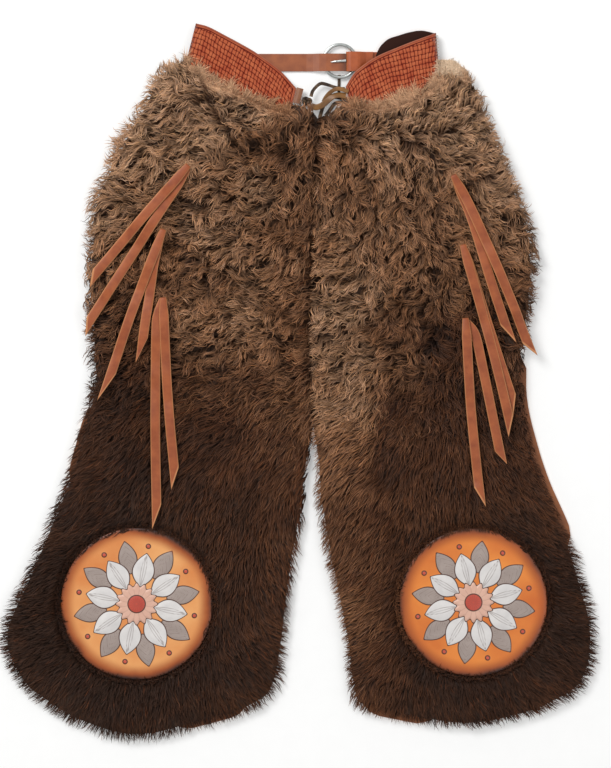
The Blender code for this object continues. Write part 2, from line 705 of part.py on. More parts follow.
def highest_under(fur, spots):
    """The pile's height under each spot, by rays from above, or the lowest tie height."""
    tree = BVHTree.FromPolygons([v.co for v in fur.data.vertices],
                                [p.vertices for p in fur.data.polygons])
    found = []
    for x, y in spots:
        hit = tree.ray_cast(Vector((x, y, 100)) * MM, Vector((0, 0, -1)))[0]
        found.append(max(hit.z / MM, TIE_LOWEST_Z) if hit else TIE_LOWEST_Z)
    return np.array(found)


def strand_edges(strand):
    """Left and right edge of a flat strip with a slanted tip, seen from above."""
    line = resample(smooth_curve(strand.path), TIE_STEP)
    run = unit(np.gradient(line, axis=0))
    half = np.stack([-run[:, 1], run[:, 0]], 1) * TIE_WIDTH / 2
    along = np.r_[0, np.cumsum(np.linalg.norm(np.diff(line, axis=0), axis=1))]
    whole = along[-1] - along > strand.tip_cut + TIE_STEP / 4
    cut = line[-1] - run[-1] * strand.tip_cut
    point = line[-1] - half[-1] * strand.corner_side
    side = unit(half[-1]) * TIP_HALF_WIDTH
    left = np.vstack([(line + half)[whole], cut + half[-1], point + side])
    right = np.vstack([(line - half)[whole], cut - half[-1], point - side])
    return left, right


def tie_strip(name, strand, fur, raised_until, lift, finish, parent):
    """One strip of a tie, laid over the pile's lumps; its first stretch lies on the other strip."""
    a, b = strand_edges(strand)
    level = []
    back = unit(a[0] - a[1]) * ROOT_BEHIND
    for k in range(len(a)):
        before = np.stack([a[0] + back, b[0] + back]) if k == 0 else np.stack([a[k - 1], b[k - 1]])
        after = np.stack([a[min(k + 1, len(a) - 1)], b[min(k + 1, len(a) - 1)]])
        here = np.stack([a[k], b[k]])
        spots = []
        for other in (before, after):
            for share in np.linspace(0, 1, 9):
                ends = here * (1 - share) + other * share
                spots += [ends[0] * (1 - across) + ends[1] * across for across in np.linspace(0, 1, 7)]
        level.append(highest_under(fur, spots).max())
    level = np.array(level)
    along = np.r_[0, np.cumsum(np.linalg.norm(np.diff((a + b) / 2, axis=0), axis=1))]
    raised = lift * (1 - ((along - raised_until) / (2 * TIE_STEP)).clip(0, 1))
    level = level + GAP + TIE_THICK / 2 + raised + TIE_MARGIN
    middle = np.stack([np.column_stack([a, level]), np.column_stack([b, level])], 1)
    facing = np.broadcast_to(np.array([0.0, 0.0, 1.0]), middle.shape)
    return sheet_solid(name, middle, facing, TIE_THICK, finish, parent), level


def tie_pair(name, strands, fur, finish, parent):
    """Two strips that come out of one slit, fused there and free beyond."""
    upper, lower = strands
    line_a = resample(smooth_curve(upper.path), COVER_STEP)
    line_b = resample(smooth_curve(lower.path), COVER_STEP)
    covered = distance_to_line(line_a, line_b) < TIE_WIDTH + 5 * GAP
    raised_until = COVER_STEP * (covered.sum() + 1)
    top, top_level = tie_strip(name, upper, fur, raised_until, TIE_THICK + GAP, finish, parent)
    under, under_level = tie_strip(f"{name}_guide", lower, fur, 0, 0, finish, parent)
    start = np.array(upper.path[0])
    run = unit(np.array(upper.path[1]) - start)
    side = np.array([-run[1], run[0]])
    bottom = under_level[0] - TIE_THICK / 2
    height = top_level[0] + TIE_THICK / 2 - bottom
    root_start = start - run * ROOT_BEHIND
    root_end = start + run * ROOT_AHEAD
    half = side * ROOT_HALF_WIDTH
    corners = [root_start + half, root_start - half, root_end - half, root_end + half]
    points = [(*c, bottom + 0.15) for c in corners] + [(*c, bottom + height - 0.15) for c in corners]
    faces = [[0, 1, 2, 3], [4, 5, 6, 7], [0, 1, 5, 4], [1, 2, 6, 5], [2, 3, 7, 6], [3, 0, 4, 7]]
    root = mesh_object(f"{name}_root_guide", points, faces, finish, parent, smooth=False)
    for guide in (root, under):
        guide.hide_render = True
        guide.display_type = "WIRE"
        join = top.modifiers.new(guide.name, "BOOLEAN")
        join.operation = "UNION"
        join.object = guide
    return top


def lace_strand(name, diameter, route, finish, parent):
    """A lace strand: a round tube on a smooth curve through its route, with closed ends."""
    line = resample(smooth_curve(route), 2.4 * diameter)
    curve = bpy.data.curves.new(name, "CURVE")
    curve.dimensions = "3D"
    curve.bevel_depth = diameter / 2 * MM
    curve.bevel_resolution = 2
    curve.use_fill_caps = True
    spline = curve.splines.new("POLY")
    spline.points.add(len(line) - 1)
    for point, place in zip(spline.points, line):
        point.co = (*(place * MM), 1.0)
    curve.materials.append(finish)
    made = bpy.data.objects.new(name, curve)
    bpy.context.scene.collection.objects.link(made)
    made.parent = parent
    return made


def front_lace(leather, dark_leather, parent):
    """Keeper, knot, strands and the tail that runs up to the ring."""
    for name, (diameter, route) in LACE_ROUTES.items():
        lace_strand(name, diameter, route, leather, parent)

    shape = bmesh.new()
    bmesh.ops.create_uvsphere(shape, u_segments=14, v_segments=8, radius=1.0)
    for vert in shape.verts:
        x, y, z = vert.co
        squeeze = 1 - 0.10 * math.cos(3 * math.atan2(y, x)) * (1 - z * z)
        vert.co = Vector([KNOT_RADII[i] * c * squeeze + KNOT_CENTRE[i]
                          for i, c in enumerate((x, y, z))]) * MM
    mesh = bpy.data.meshes.new("lace_knot")
    bmesh.ops.recalc_face_normals(shape, faces=shape.faces)
    shape.to_mesh(mesh)
    shape.free()
    mesh.shade_smooth()
    mesh.materials.append(dark_leather)
    knot = bpy.data.objects.new("lace_knot", mesh)
    bpy.context.scene.collection.objects.link(knot)
    knot.parent = parent

    def flat_piece(name, ends, width, thick, z, rise, finish):
        line = resample(np.array(ends, float), 6.0)
        run = unit(line[-1] - line[0])
        side = np.array([-run[1], run[0]]) * width / 2
        across = np.linspace(-1, 1, 5)
        crown = rise * thick * (1 - across**2)
        middle = np.stack([np.column_stack([line + side * a, np.full(len(line), z + c)])
                           for a, c in zip(across, crown - crown.max())], 1)
        facing = np.broadcast_to(np.array([0.0, 0.0, 1.0]), middle.shape)
        return sheet_solid(name, middle, facing, thick, finish, parent)

    flat_piece("belt_end_left", KEEPER_ENDS, KEEPER_WIDTH, KEEPER_THICK, KEEPER_Z, KEEPER_CROWN,
               leather)
    flat_piece("lace_tail", LACE_TAIL, LACE_TAIL_WIDTH, LACE_TAIL_THICK, LACE_TAIL_THICK / 2, 0,
               dark_leather)


def stand_on_floor(garment):
    """Moves the whole garment so that the middle of its box is over the origin, on z = 0."""
    bpy.context.view_layer.update()
    graph = bpy.context.evaluated_depsgraph_get()
    low, high = np.full(3, np.inf), np.full(3, -np.inf)
    for piece in bpy.context.scene.objects:
        if piece.type == "EMPTY" or piece.hide_render:
            continue
        shown = piece.evaluated_get(graph)
        mesh = shown.to_mesh()
        places = np.array([tuple(shown.matrix_world @ v.co) for v in mesh.vertices])
        shown.to_mesh_clear()
        low = np.minimum(low, places.min(0))
        high = np.maximum(high, places.max(0))
    garment.location = Vector((-(low[0] + high[0]) / 2, -(low[1] + high[1]) / 2, -low[2]))


def main():
    for old in list(bpy.data.objects):
        bpy.data.objects.remove(old, do_unlink=True)
    garment = bpy.data.objects.new("garment", None)
    bpy.context.scene.collection.objects.link(garment)

    tan = material("tan_leather", (0.42, 0.19, 0.08), 0.55)
    stamped = material("stamped_leather", (0.44, 0.08, 0.028), 0.45)
    strap_leather = material("strap_leather", (0.40, 0.12, 0.045), 0.5)
    tie_leather = material("tie_leather", (0.48, 0.13, 0.05), 0.6)
    knot_leather = material("knot_leather", (0.06, 0.03, 0.02), 0.5)
    plaque_leather = material("plaque_leather", (0.70, 0.26, 0.06), 0.5)
    light_fur = material("curly_hide", (0.13, 0.075, 0.045), 0.9)
    steel = material("nickel", (0.55, 0.55, 0.53), 0.35, 1.0)

    sides = {
        "left": (LEG_LEFT, LEG_LEFT_HEM, LEG_LEFT_SHOULDER, LEG_LEFT_CROTCH, LEG_LEFT_BESIDE_FOLD,
                 BELT_LEFT_FRONT, TROUGHS_LEFT, PLAQUE_LEFT, 3.0),
        "right": (LEG_RIGHT, LEG_RIGHT_HEM, LEG_RIGHT_SHOULDER, LEG_RIGHT_CROTCH,
                  LEG_RIGHT_BESIDE_FOLD, BELT_RIGHT_FRONT, TROUGHS_RIGHT, PLAQUE_RIGHT, 21.0),
    }
    back_tops = {"left": BACK_TOP_EDGE_LEFT, "right": BACK_TOP_EDGE_RIGHT}
    bare_edges = {"left": BARE_EDGES_LEFT, "right": BARE_EDGES_RIGHT}

    furs = {}
    for side, (leg, hem, shoulder, crotch, beside, front, troughs, disc, seed) in sides.items():
        outline = leg_outline(leg, hem, shoulder, crotch, beside, front)
        shadow = belt_shadow(front, 24)
        furs[side] = leg_fur(f"leg_fur_{side}", outline, shadow, troughs, disc, seed,
                             light_fur, garment)
        leg_back(f"leg_back_{side}", outline, bare_edges[side], back_tops[side], tan, garment)
        plaque(f"medallion_{side}", *disc, plaque_leather, garment)

    belt_half("belt_left", BELT_LEFT_FRONT, BELT_LEFT_REAR, -1, stamped, garment)
    belt_half("belt_right", BELT_RIGHT_FRONT, BELT_RIGHT_REAR, 1, stamped, garment)
    back_strap(strap_leather, steel, garment)
    front_lace(tie_leather, knot_leather, garment)
    for name, strands in TIES.items():
        tie_pair(name, strands, furs[name.split("_")[1]], tie_leather, garment)
    stand_on_floor(garment)


main()
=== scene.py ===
import math
import bpy
import bmesh
import numpy as np
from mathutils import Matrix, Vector
from mathutils.bvhtree import BVHTree


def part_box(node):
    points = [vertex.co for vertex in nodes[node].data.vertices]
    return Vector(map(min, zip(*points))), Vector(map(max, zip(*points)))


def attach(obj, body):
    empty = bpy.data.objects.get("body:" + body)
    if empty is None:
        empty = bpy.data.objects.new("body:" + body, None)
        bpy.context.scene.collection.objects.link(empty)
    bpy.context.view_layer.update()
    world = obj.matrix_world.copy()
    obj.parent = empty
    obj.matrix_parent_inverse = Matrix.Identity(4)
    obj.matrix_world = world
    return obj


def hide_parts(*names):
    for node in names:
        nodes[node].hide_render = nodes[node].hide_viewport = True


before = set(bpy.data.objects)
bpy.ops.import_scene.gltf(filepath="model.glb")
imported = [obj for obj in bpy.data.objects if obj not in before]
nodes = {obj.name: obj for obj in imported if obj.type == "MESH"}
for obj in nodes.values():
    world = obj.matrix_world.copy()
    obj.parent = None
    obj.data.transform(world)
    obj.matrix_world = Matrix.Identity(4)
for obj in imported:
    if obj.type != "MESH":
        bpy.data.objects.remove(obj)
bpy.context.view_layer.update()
mm = 0.001
partShift = np.array([24.32, -476.25, 0.0])  # from the part's own table of sizes to this frame, mm


# ---- camera, floor and light

cameraSettings = {"middle": (9.0, -2.7), "height": 4000.0, "frameHeight": 1021.4, "aimHeight": 14.0}
lightSettings = {
    "key": {"place": (-1.5, 1.9, 2.6), "size": 1.6, "power": 88.0},
    "fill": {"place": (1.9, -0.9, 2.6), "size": 2.6, "power": 22.0},
    "world": 0.5,
}


def addCamera(settings):
    # straight above, as the photograph was taken; the lens follows from the height and the frame
    data = bpy.data.cameras.new("camera")
    data.sensor_fit = "VERTICAL"
    data.sensor_height = 36.0
    data.lens = 36.0 * (settings["height"] - settings["aimHeight"]) / settings["frameHeight"]
    data.clip_end = 50.0
    camera = bpy.data.objects.new("camera", data)
    camera.location = (settings["middle"][0] * mm, settings["middle"][1] * mm, settings["height"] * mm)
    bpy.context.scene.collection.objects.link(camera)
    bpy.context.scene.camera = camera


def addLights(settings):
    for name in ("key", "fill"):
        data = bpy.data.lights.new(name, "AREA")
        data.shape = "DISK"
        data.size = settings[name]["size"]
        data.energy = settings[name]["power"]
        lamp = bpy.data.objects.new(name, data)
        lamp.location = settings[name]["place"]
        lamp.rotation_euler = (-Vector(settings[name]["place"])).to_track_quat("-Z", "Y").to_euler()
        bpy.context.scene.collection.objects.link(lamp)
    world = bpy.data.worlds.new("studio")
    world.use_nodes = True
    background = world.node_tree.nodes["Background"]
    background.inputs["Color"].default_value = (1.0, 1.0, 1.0, 1.0)
    background.inputs["Strength"].default_value = settings["world"]
    bpy.context.scene.world = world
    bpy.context.scene.view_settings.view_transform = "Standard"


addCamera(cameraSettings)
addLights(lightSettings)
print("camera and lights are in")


# ---- small tools

def hexColour(text):
    # sRGB hex to linear red, green, blue
    part = np.array([int(text[i:i + 2], 16) for i in (1, 3, 5)]) / 255.0
    return np.where(part <= 0.04045, part / 12.92, ((part + 0.055) / 1.055) ** 2.4)


def rgba(text):
    return (*[float(c) for c in hexColour(text)], 1.0)


def addNode(tree, kind, settings=None, **links):
    # one node with its settings; a link name is the input socket, by name or as in0, in1
    node = tree.nodes.new(kind)
    for key, value in (settings or {}).items():
        if key.startswith("in_"):
            socket = node.inputs[int(key[3:])] if key[3:].isdigit() else node.inputs[key[3:]]
            socket.default_value = value
        else:
            setattr(node, key, value)
    for key, source in links.items():
        socket = node.inputs[int(key[2:])] if key[:2] == "in" and key[2:].isdigit() else node.inputs[key]
        tree.links.new(source, socket)
    return node


def newMaterial(name):
    made = bpy.data.materials.new(name)
    made.use_nodes = True
    return made, made.node_tree, made.node_tree.nodes["Principled BSDF"]


def smoothCurve(points, steps=12):
    # Catmull-Rom curve through the points
    given = np.array(points, float)
    padded = np.vstack([2 * given[0] - given[1], given, 2 * given[-1] - given[-2]])
    t = np.linspace(0, 1, steps, endpoint=False)[:, None]
    runs = []
    for a, b, c, d in zip(padded, padded[1:], padded[2:], padded[3:]):
        runs.append(0.5 * (2 * b + (c - a) * t + (2 * a - 5 * b + 4 * c - d) * t**2
                           + (3 * b - a - 3 * c + d) * t**3))
    return np.vstack(runs + [given[-1:]])


def resample(line, step):
    length = np.r_[0, np.cumsum(np.linalg.norm(np.diff(line, axis=0), axis=1))]
    count = max(int(round(length[-1] / step)), 1) + 1
    places = np.linspace(0, length[-1], count)
    return np.stack([np.interp(places, length, axis) for axis in line.T], 1)


def unit(vectors):
    return vectors / np.maximum(np.linalg.norm(vectors, axis=-1, keepdims=True), 1e-9)


def valueNoise(x, y, size, seed):
    # random values on a lattice of that size in mm, blended smoothly between its points, -1 to 1
    lattice = np.random.default_rng(seed).uniform(-1, 1, (256, 256))
    gx, gy = x / size + 128.37, y / size + 128.71
    ix, iy = np.floor(gx).astype(int), np.floor(gy).astype(int)
    tx, ty = gx - ix, gy - iy
    tx, ty = tx * tx * (3 - 2 * tx), ty * ty * (3 - 2 * ty)
    low = lattice[ix % 256, iy % 256] * (1 - tx) + lattice[(ix + 1) % 256, iy % 256] * tx
    high = lattice[ix % 256, (iy + 1) % 256] * (1 - tx) + lattice[(ix + 1) % 256, (iy + 1) % 256] * tx
    return low * (1 - ty) + high * ty


def meshFromArrays(name, points, faceCorners, faceSizes, material, smooth=True):
    # points in mm; faces as one flat run of corners and the number of corners of each
    mesh = bpy.data.meshes.new(name)
    mesh.vertices.add(len(points))
    mesh.vertices.foreach_set("co", (points * mm).astype(np.float32).ravel())
    mesh.loops.add(len(faceCorners))
    mesh.loops.foreach_set("vertex_index", faceCorners.astype(np.int32))
    mesh.polygons.add(len(faceSizes))
    mesh.polygons.foreach_set("loop_start", np.r_[0, np.cumsum(faceSizes)[:-1]].astype(np.int32))
    mesh.update(calc_edges=True)
    if smooth:
        mesh.shade_smooth()
    mesh.materials.append(material)
    made = bpy.data.objects.new(name, mesh)
    bpy.context.scene.collection.objects.link(made)
    return made


def faceOut(piece):
    # a closed shell's faces turned to point out of it
    shape = bmesh.new()
    shape.from_mesh(piece.data)
    bmesh.ops.recalc_face_normals(shape, faces=shape.faces)
    shape.to_mesh(piece.data)
    shape.free()


def addAttribute(piece, name, values):
    kind, key = ("FLOAT", "value") if values.ndim == 1 else ("FLOAT_COLOR", "color")
    layer = piece.data.attributes.new(name, kind, "POINT")
    layer.data.foreach_set(key, values.astype(np.float32).ravel())


def dress(piece, slotName, *replaced):
    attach(piece, "root")
    if replaced:
        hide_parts(*replaced)


def gridShell(name, middle, facing, outer, inner, material):
    # two skins on one grid of middle points, moved out and in along the facing, joined at the rim
    rows, columns = middle.shape[:2]
    count = rows * columns
    index = np.arange(count).reshape(rows, columns)
    quads = np.stack([index[:-1, :-1], index[1:, :-1], index[1:, 1:], index[:-1, 1:]], -1).reshape(-1, 4)
    rim = np.r_[index[:, 0], index[-1, 1:], index[-2::-1, -1], index[0, -2:0:-1]]
    after = np.roll(rim, -1)
    sides = np.stack([after, rim, rim + count, after + count], 1)
    faces = np.vstack([quads, quads[:, ::-1] + count, sides])
    points = np.vstack([(middle + facing * outer[..., None]).reshape(-1, 3),
                        (middle - facing * inner[..., None]).reshape(-1, 3)])
    piece = meshFromArrays(name, points, faces.ravel(), np.full(len(faces), 4), material)
    faceOut(piece)
    return piece


# ---- leathers and metal

leatherSettings = {
    "tie": {"top": "#9F5226", "mottle": "#853D18", "edge": "#C98A58", "rough": 0.55},
    "chape": {"top": "#AC5425", "mottle": "#93431B", "edge": "#C07840", "rough": 0.45},
    "strap": {"top": "#98542E", "mottle": "#7E4023", "edge": "#6E3C24", "rough": 0.42},
    "lace": {"top": "#8F622F", "mottle": "#5E3E20", "edge": "#4A3420", "rough": 0.4},
    "keeper": {"top": "#8F5E3E", "mottle": "#70422A", "edge": "#B98A66", "rough": 0.5},
    "back": {"top": "#94582F", "mottle": "#784423", "edge": "#CFA27C", "rough": 0.55},
}


def smoothLeather(name, settings, grainSize):
    # vegetable-tanned leather, dyed on the grain side; its steep cut edges, found by their normal, take an edge colour
    # of their own: paler fibre on most, darker on the strap and lace
    made, tree, shader = newMaterial(name)
    place = addNode(tree, "ShaderNodeTexCoord").outputs["Object"]
    cloudy = addNode(tree, "ShaderNodeTexNoise", {"in_Scale": 55.0, "in_Detail": 5.0, "in_Roughness": 0.6},
                     Vector=place)
    tone = addNode(tree, "ShaderNodeMapRange", {"in_From Min": 0.35, "in_From Max": 0.68},
                   Value=cloudy.outputs["Fac"])
    dyed = addNode(tree, "ShaderNodeMix", {"data_type": "RGBA", "in_6": rgba(settings["top"]),
                                           "in_7": rgba(settings["mottle"])}, in0=tone.outputs["Result"])
    upright = addNode(tree, "ShaderNodeNewGeometry")
    split = addNode(tree, "ShaderNodeSeparateXYZ", None, Vector=upright.outputs["Normal"])
    steep = addNode(tree, "ShaderNodeMath", {"operation": "ABSOLUTE"}, in0=split.outputs["Z"])
    cut = addNode(tree, "ShaderNodeMapRange", {"in_From Min": 0.75, "in_From Max": 0.35},
                  Value=steep.outputs[0])
    marked = addNode(tree, "ShaderNodeAttribute", {"attribute_name": "cutEdge"})
    anyCut = addNode(tree, "ShaderNodeMath", {"operation": "MAXIMUM"}, in0=cut.outputs["Result"],
                     in1=marked.outputs["Fac"])
    colour = addNode(tree, "ShaderNodeMix", {"data_type": "RGBA", "in_7": rgba(settings["edge"])},
                     in0=anyCut.outputs[0], in6=dyed.outputs[2])
    tree.links.new(colour.outputs[2], shader.inputs["Base Color"])
    grain = addNode(tree, "ShaderNodeTexNoise", {"in_Scale": 1000.0 / grainSize, "in_Detail": 3.0}, Vector=place)
    bump = addNode(tree, "ShaderNodeBump", {"in_Strength": 0.25, "in_Distance": 0.0002},
                   Height=grain.outputs["Fac"])
    tree.links.new(bump.outputs["Normal"], shader.inputs["Normal"])
    shader.inputs["Roughness"].default_value = settings["rough"]
    return made


def paintShadowAlong(made, start, end, shade):
    # painted shadow on the leather, dark from one place to another along X
    tree = made.node_tree
    shader = next(node for node in tree.nodes if node.type == "BSDF_PRINCIPLED")
    before = shader.inputs["Base Color"].links[0].from_socket
    place = addNode(tree, "ShaderNodeTexCoord").outputs["Object"]
    split = addNode(tree, "ShaderNodeSeparateXYZ", None, Vector=place)
    along = addNode(tree, "ShaderNodeMapRange", {"in_From Min": start, "in_From Max": end, "in_To Max": 0.75},
                    Value=split.outputs["X"])
    colour = addNode(tree, "ShaderNodeMix", {"data_type": "RGBA", "in_7": rgba(shade)},
                     in0=along.outputs["Result"], in6=before)
    tree.links.new(colour.outputs[2], shader.inputs["Base Color"])


tieLeather = smoothLeather("vegetableTannedTieLeather", leatherSettings["tie"], 1.5)
strapLeather = smoothLeather("harnessLeatherStrap", leatherSettings["strap"], 1.2)
paintShadowAlong(strapLeather, 0.052, 0.064, "#2E140B")  # painted shadow in the crease where the billet goes into the chape
chapeLeather = smoothLeather("russetStrapLeather", leatherSettings["chape"], 1.2)
keeperLeather = smoothLeather("rubbedKeeperLeather", leatherSettings["keeper"], 1.2)
backLeather = smoothLeather("chapLeatherBack", leatherSettings["back"], 1.8)


def darkLaceLeather():
    # latigo lace: oiled, nearly black where it was handled, brown where it bends
    made, tree, shader = newMaterial("oiledLatigoLace")
    place = addNode(tree, "ShaderNodeTexCoord").outputs["Object"]
    patches = addNode(tree, "ShaderNodeTexNoise", {"in_Scale": 160.0, "in_Detail": 4.0}, Vector=place)
    colour = addNode(tree, "ShaderNodeValToRGB", None, Fac=patches.outputs["Fac"])
    colour.color_ramp.elements[0].color = rgba("#2B2019")
    colour.color_ramp.elements[0].position = 0.38
    colour.color_ramp.elements[1].color = rgba("#6A5440")
    colour.color_ramp.elements[1].position = 0.7
    tree.links.new(colour.outputs["Color"], shader.inputs["Base Color"])
    shader.inputs["Roughness"].default_value = 0.45
    shader.inputs["Specular IOR Level"].default_value = 0.2
    bump = addNode(tree, "ShaderNodeBump", {"in_Strength": 0.3, "in_Distance": 0.0003},
                   Height=patches.outputs["Fac"])
    tree.links.new(bump.outputs["Normal"], shader.inputs["Normal"])
    return made


darkLace = darkLaceLeather()
rubbedLace = smoothLeather("rubbedLatigoLace", leatherSettings["lace"], 1.0)


def nickelPlate():
    # nickel-plated wire, dulled by handling: soft streaks of roughness over a pale warm grey
    made, tree, shader = newMaterial("wornNickelPlate")
    place = addNode(tree, "ShaderNodeTexCoord").outputs["Object"]
    haze = addNode(tree, "ShaderNodeTexNoise", {"in_Scale": 220.0, "in_Detail": 4.0}, Vector=place)
    rough = addNode(tree, "ShaderNodeMapRange", {"in_To Min": 0.22, "in_To Max": 0.5}, Value=haze.outputs["Fac"])
    colour = addNode(tree, "ShaderNodeValToRGB", None, Fac=haze.outputs["Fac"])
    colour.color_ramp.elements[0].color = rgba("#A9ADAB")
    colour.color_ramp.elements[1].color = rgba("#D3D6D4")
    tree.links.new(colour.outputs["Color"], shader.inputs["Base Color"])
    tree.links.new(rough.outputs["Result"], shader.inputs["Roughness"])
    shader.inputs["Metallic"].default_value = 1.0
    return made


nickel = nickelPlate()


# ---- front lace: the free strands come first

laceStrands = {
    "laceArch": {"node": "lace_arch", "width": 4.6, "thick": 1.8, "twist": 0.5, "end": "object", "route": [
        (-8.0, 856.2, 9.5), (-6.0, 863.0, 9.5), (-1.0, 869.5, 9.0), (5.0, 873.6, 9.0),
        (12.0, 872.6, 9.0), (21.3, 869.6, 9.0), (30.6, 867.2, 8.5), (37.0, 866.8, 7.8)]},
    "laceBand": {"node": "lace_band", "width": 8.2, "thick": 2.2, "twist": 0.35, "end": "object", "route": [
        (-6.9, 843.4, 8.2), (0.0, 842.2, 8.4), (8.0, 845.6, 9.2), (15.0, 851.8, 9.4),
        (22.0, 856.8, 9.2), (29.4, 858.2, 8.6), (38.4, 857.4, 7.8)]},
    "laceBandOver": {"node": "lace_band", "width": 5.6, "thick": 1.6, "twist": 0.2, "end": "object", "route": [
        (8.6, 849.5, 5.2), (12.5, 856.5, 7.6), (19.0, 862.8, 11.2), (26.9, 866.4, 12.2),
        (34.0, 865.4, 12.2), (41.5, 862.4, 11.0)]},
    "laceEndLeft": {"node": "lace_end_left", "width": 5.0, "thick": 2.2, "twist": 0.3, "end": "bare", "route": [
        (40.9, 853.8, 7.8), (36.0, 853.8, 5.6), (28.0, 855.5, 3.0), (19.0, 856.5, 2.4),
        (11.5, 851.0, 2.4), (8.0, 843.0, 2.4), (5.5, 835.5, 2.4), (3.5, 828.5, 2.4)]},
    "laceEndRight": {"node": "lace_end_right", "width": 5.0, "thick": 2.2, "twist": 0.3, "end": "bare", "route": [
        (42.9, 847.4, 7.8), (38.0, 848.2, 5.6), (31.9, 849.5, 3.0), (24.0, 847.5, 2.4),
        (19.0, 841.5, 2.4), (14.5, 835.5, 2.4), (11.0, 831.0, 2.4)]},
}


def addLaceStrand(name, settings, material):
    # a flat strand on a Catmull-Rom curve through its route, turning a little about its own line
    line = resample(smoothCurve(settings["route"]), 1.5) + partShift
    curve = bpy.data.curves.new(name, "CURVE")
    curve.dimensions = "3D"
    curve.bevel_depth = settings["thick"] / 2 * mm
    curve.extrude = (settings["width"] - settings["thick"]) / 2 * mm
    curve.bevel_resolution = 3
    curve.use_fill_caps = True
    spline = curve.splines.new("POLY")
    spline.points.add(len(line) - 1)
    spline.points.foreach_set("co", np.column_stack([line * mm, np.ones(len(line))]).ravel())
    share = np.linspace(0, 1, len(line))
    spline.points.foreach_set("tilt", math.pi / 2 + settings["twist"] * np.sin(2 * np.pi * share))
    spline.use_smooth = True
    curve.materials.append(material)
    piece = bpy.data.objects.new(name, curve)
    bpy.context.scene.collection.objects.link(piece)
    dress(piece, "tie_leather" if settings["node"] == "lace_band" else "dark_lace",
          settings["node"])


for strandName, strandSettings in laceStrands.items():
    addLaceStrand(strandName, strandSettings, rubbedLace if strandName.startswith("laceBand") else darkLace)


# ---- heights of what the hair lies on, read from the frame's own solids

gridStep = 3.0
gridMargin = 48.0


def rayTree(*names):
    corners, faces = [], []
    for name in names:
        data = nodes[name].data
        start = len(corners)
        corners += [v.co for v in data.vertices]
        faces += [[start + i for i in p.vertices] for p in data.polygons]
    return BVHTree.FromPolygons(corners, faces)


def castDown(tree, x, y):
    # height under each grid point in mm, or minus one where there is nothing
    hits = [tree.ray_cast(Vector((a * mm, b * mm, 0.2)), Vector((0, 0, -1)))[0] for a, b in zip(x.flat, y.flat)]
    return np.array([-1.0 if h is None else h.z / mm for h in hits]).reshape(x.shape)


def signedDistance(mask, step):
    # distance in mm to the edge of the mask, plus inside it and minus outside it
    padded = np.pad(mask, 1)
    inner = padded[:-2, 1:-1] & padded[2:, 1:-1] & padded[1:-1, :-2] & padded[1:-1, 2:]
    edge = np.argwhere(mask & ~inner).astype(float)
    rows = np.arange(mask.shape[1])
    found = np.empty(mask.shape)
    for i in range(mask.shape[0]):
        apart = (edge[None, :, 0] - i) ** 2 + (edge[None, :, 1] - rows[:, None]) ** 2
        found[i] = np.sqrt(apart.min(1))
    return np.where(mask, found + 0.5, 0.5 - found) * step


def meetingHair(x, y):
    # 1 along the line where the hair of the two legs meets, 0 away from it
    seam = 16 + 12 * ((y + 117) / 470).clip(0, 1) + 4 * valueNoise(x * 0, y, 40, 61)
    return np.exp(-((x - seam) / 26) ** 2) * ((y + 82) / 36).clip(0, 1)


class HairBed:
    # what one leg's hair grows on: heights and distances on a grid, read between its points
    def __init__(self, side):
        low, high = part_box(f"leg_fur_{side}")
        self.x0, self.y0 = low[0] / mm - gridMargin, low[1] / mm - gridMargin
        x = np.arange(self.x0, high[0] / mm + gridMargin, gridStep)
        y = np.arange(self.y0, high[1] / mm + gridMargin, gridStep)
        gx, gy = np.meshgrid(x, y, indexing="ij")
        leg = castDown(rayTree(f"leg_fur_{side}"), gx, gy)
        lids = castDown(rayTree("belt_left", "belt_right", f"medallion_{side}"), gx, gy)
        self.outline = signedDistance(leg > 0, gridStep)
        self.open = signedDistance(~(lids > 0), gridStep)
        self.furry = signedDistance((leg > 0) & ~(lids > 0), gridStep)
        cover = np.maximum(leg, lids)
        # beyond the outline the cover falls away from the rim, cell by cell
        for _ in range(int(gridMargin / gridStep)):
            spread = np.pad(cover, 1, mode="edge")
            around = np.max([spread[:-2, 1:-1], spread[2:, 1:-1], spread[1:-1, :-2], spread[1:-1, 2:]], 0)
            cover = np.where(cover > 0, cover, np.where(around > 0, np.maximum(around - 0.9, 1.0), cover))
        # where the two legs meet, the hair stands over the groove between them
        meeting = meetingHair(gx, gy)
        reach = [np.roll(cover, k, axis=0) for k in range(-5, 6)]
        cover = cover + (np.maximum.reduce(reach) - 1.0 - cover).clip(0, 30) * meeting
        self.cover = np.maximum(cover, 1.0)

    def read(self, field, x, y):
        # bilinear between the four grid points about each place
        u = ((x - self.x0) / gridStep).clip(0, field.shape[0] - 1.001)
        v = ((y - self.y0) / gridStep).clip(0, field.shape[1] - 1.001)
        i, j = u.astype(int), v.astype(int)
        s, t = u - i, v - j
        return ((field[i, j] * (1 - s) + field[i + 1, j] * s) * (1 - t)
                + (field[i, j + 1] * (1 - s) + field[i + 1, j + 1] * s) * t)


beds = {side: HairBed(side) for side in ("left", "right")}
print("hair beds are read")


# ---- sizes the hair shares with the belt, the plaques and the ties

plaqueSettings = {
    "left": {"middle": (-239.9, 180.9), "radius": 101.0, "field": ("#E7A868", "#CF7A3C"), "turn": 0.2},
    "right": {"middle": (208.1, 183.0), "radius": 98.4, "field": ("#E58A38", "#C4611F"), "turn": -0.25},
    "face": 12.3, "base": 9.3, "rings": 64, "segments": 288,
}

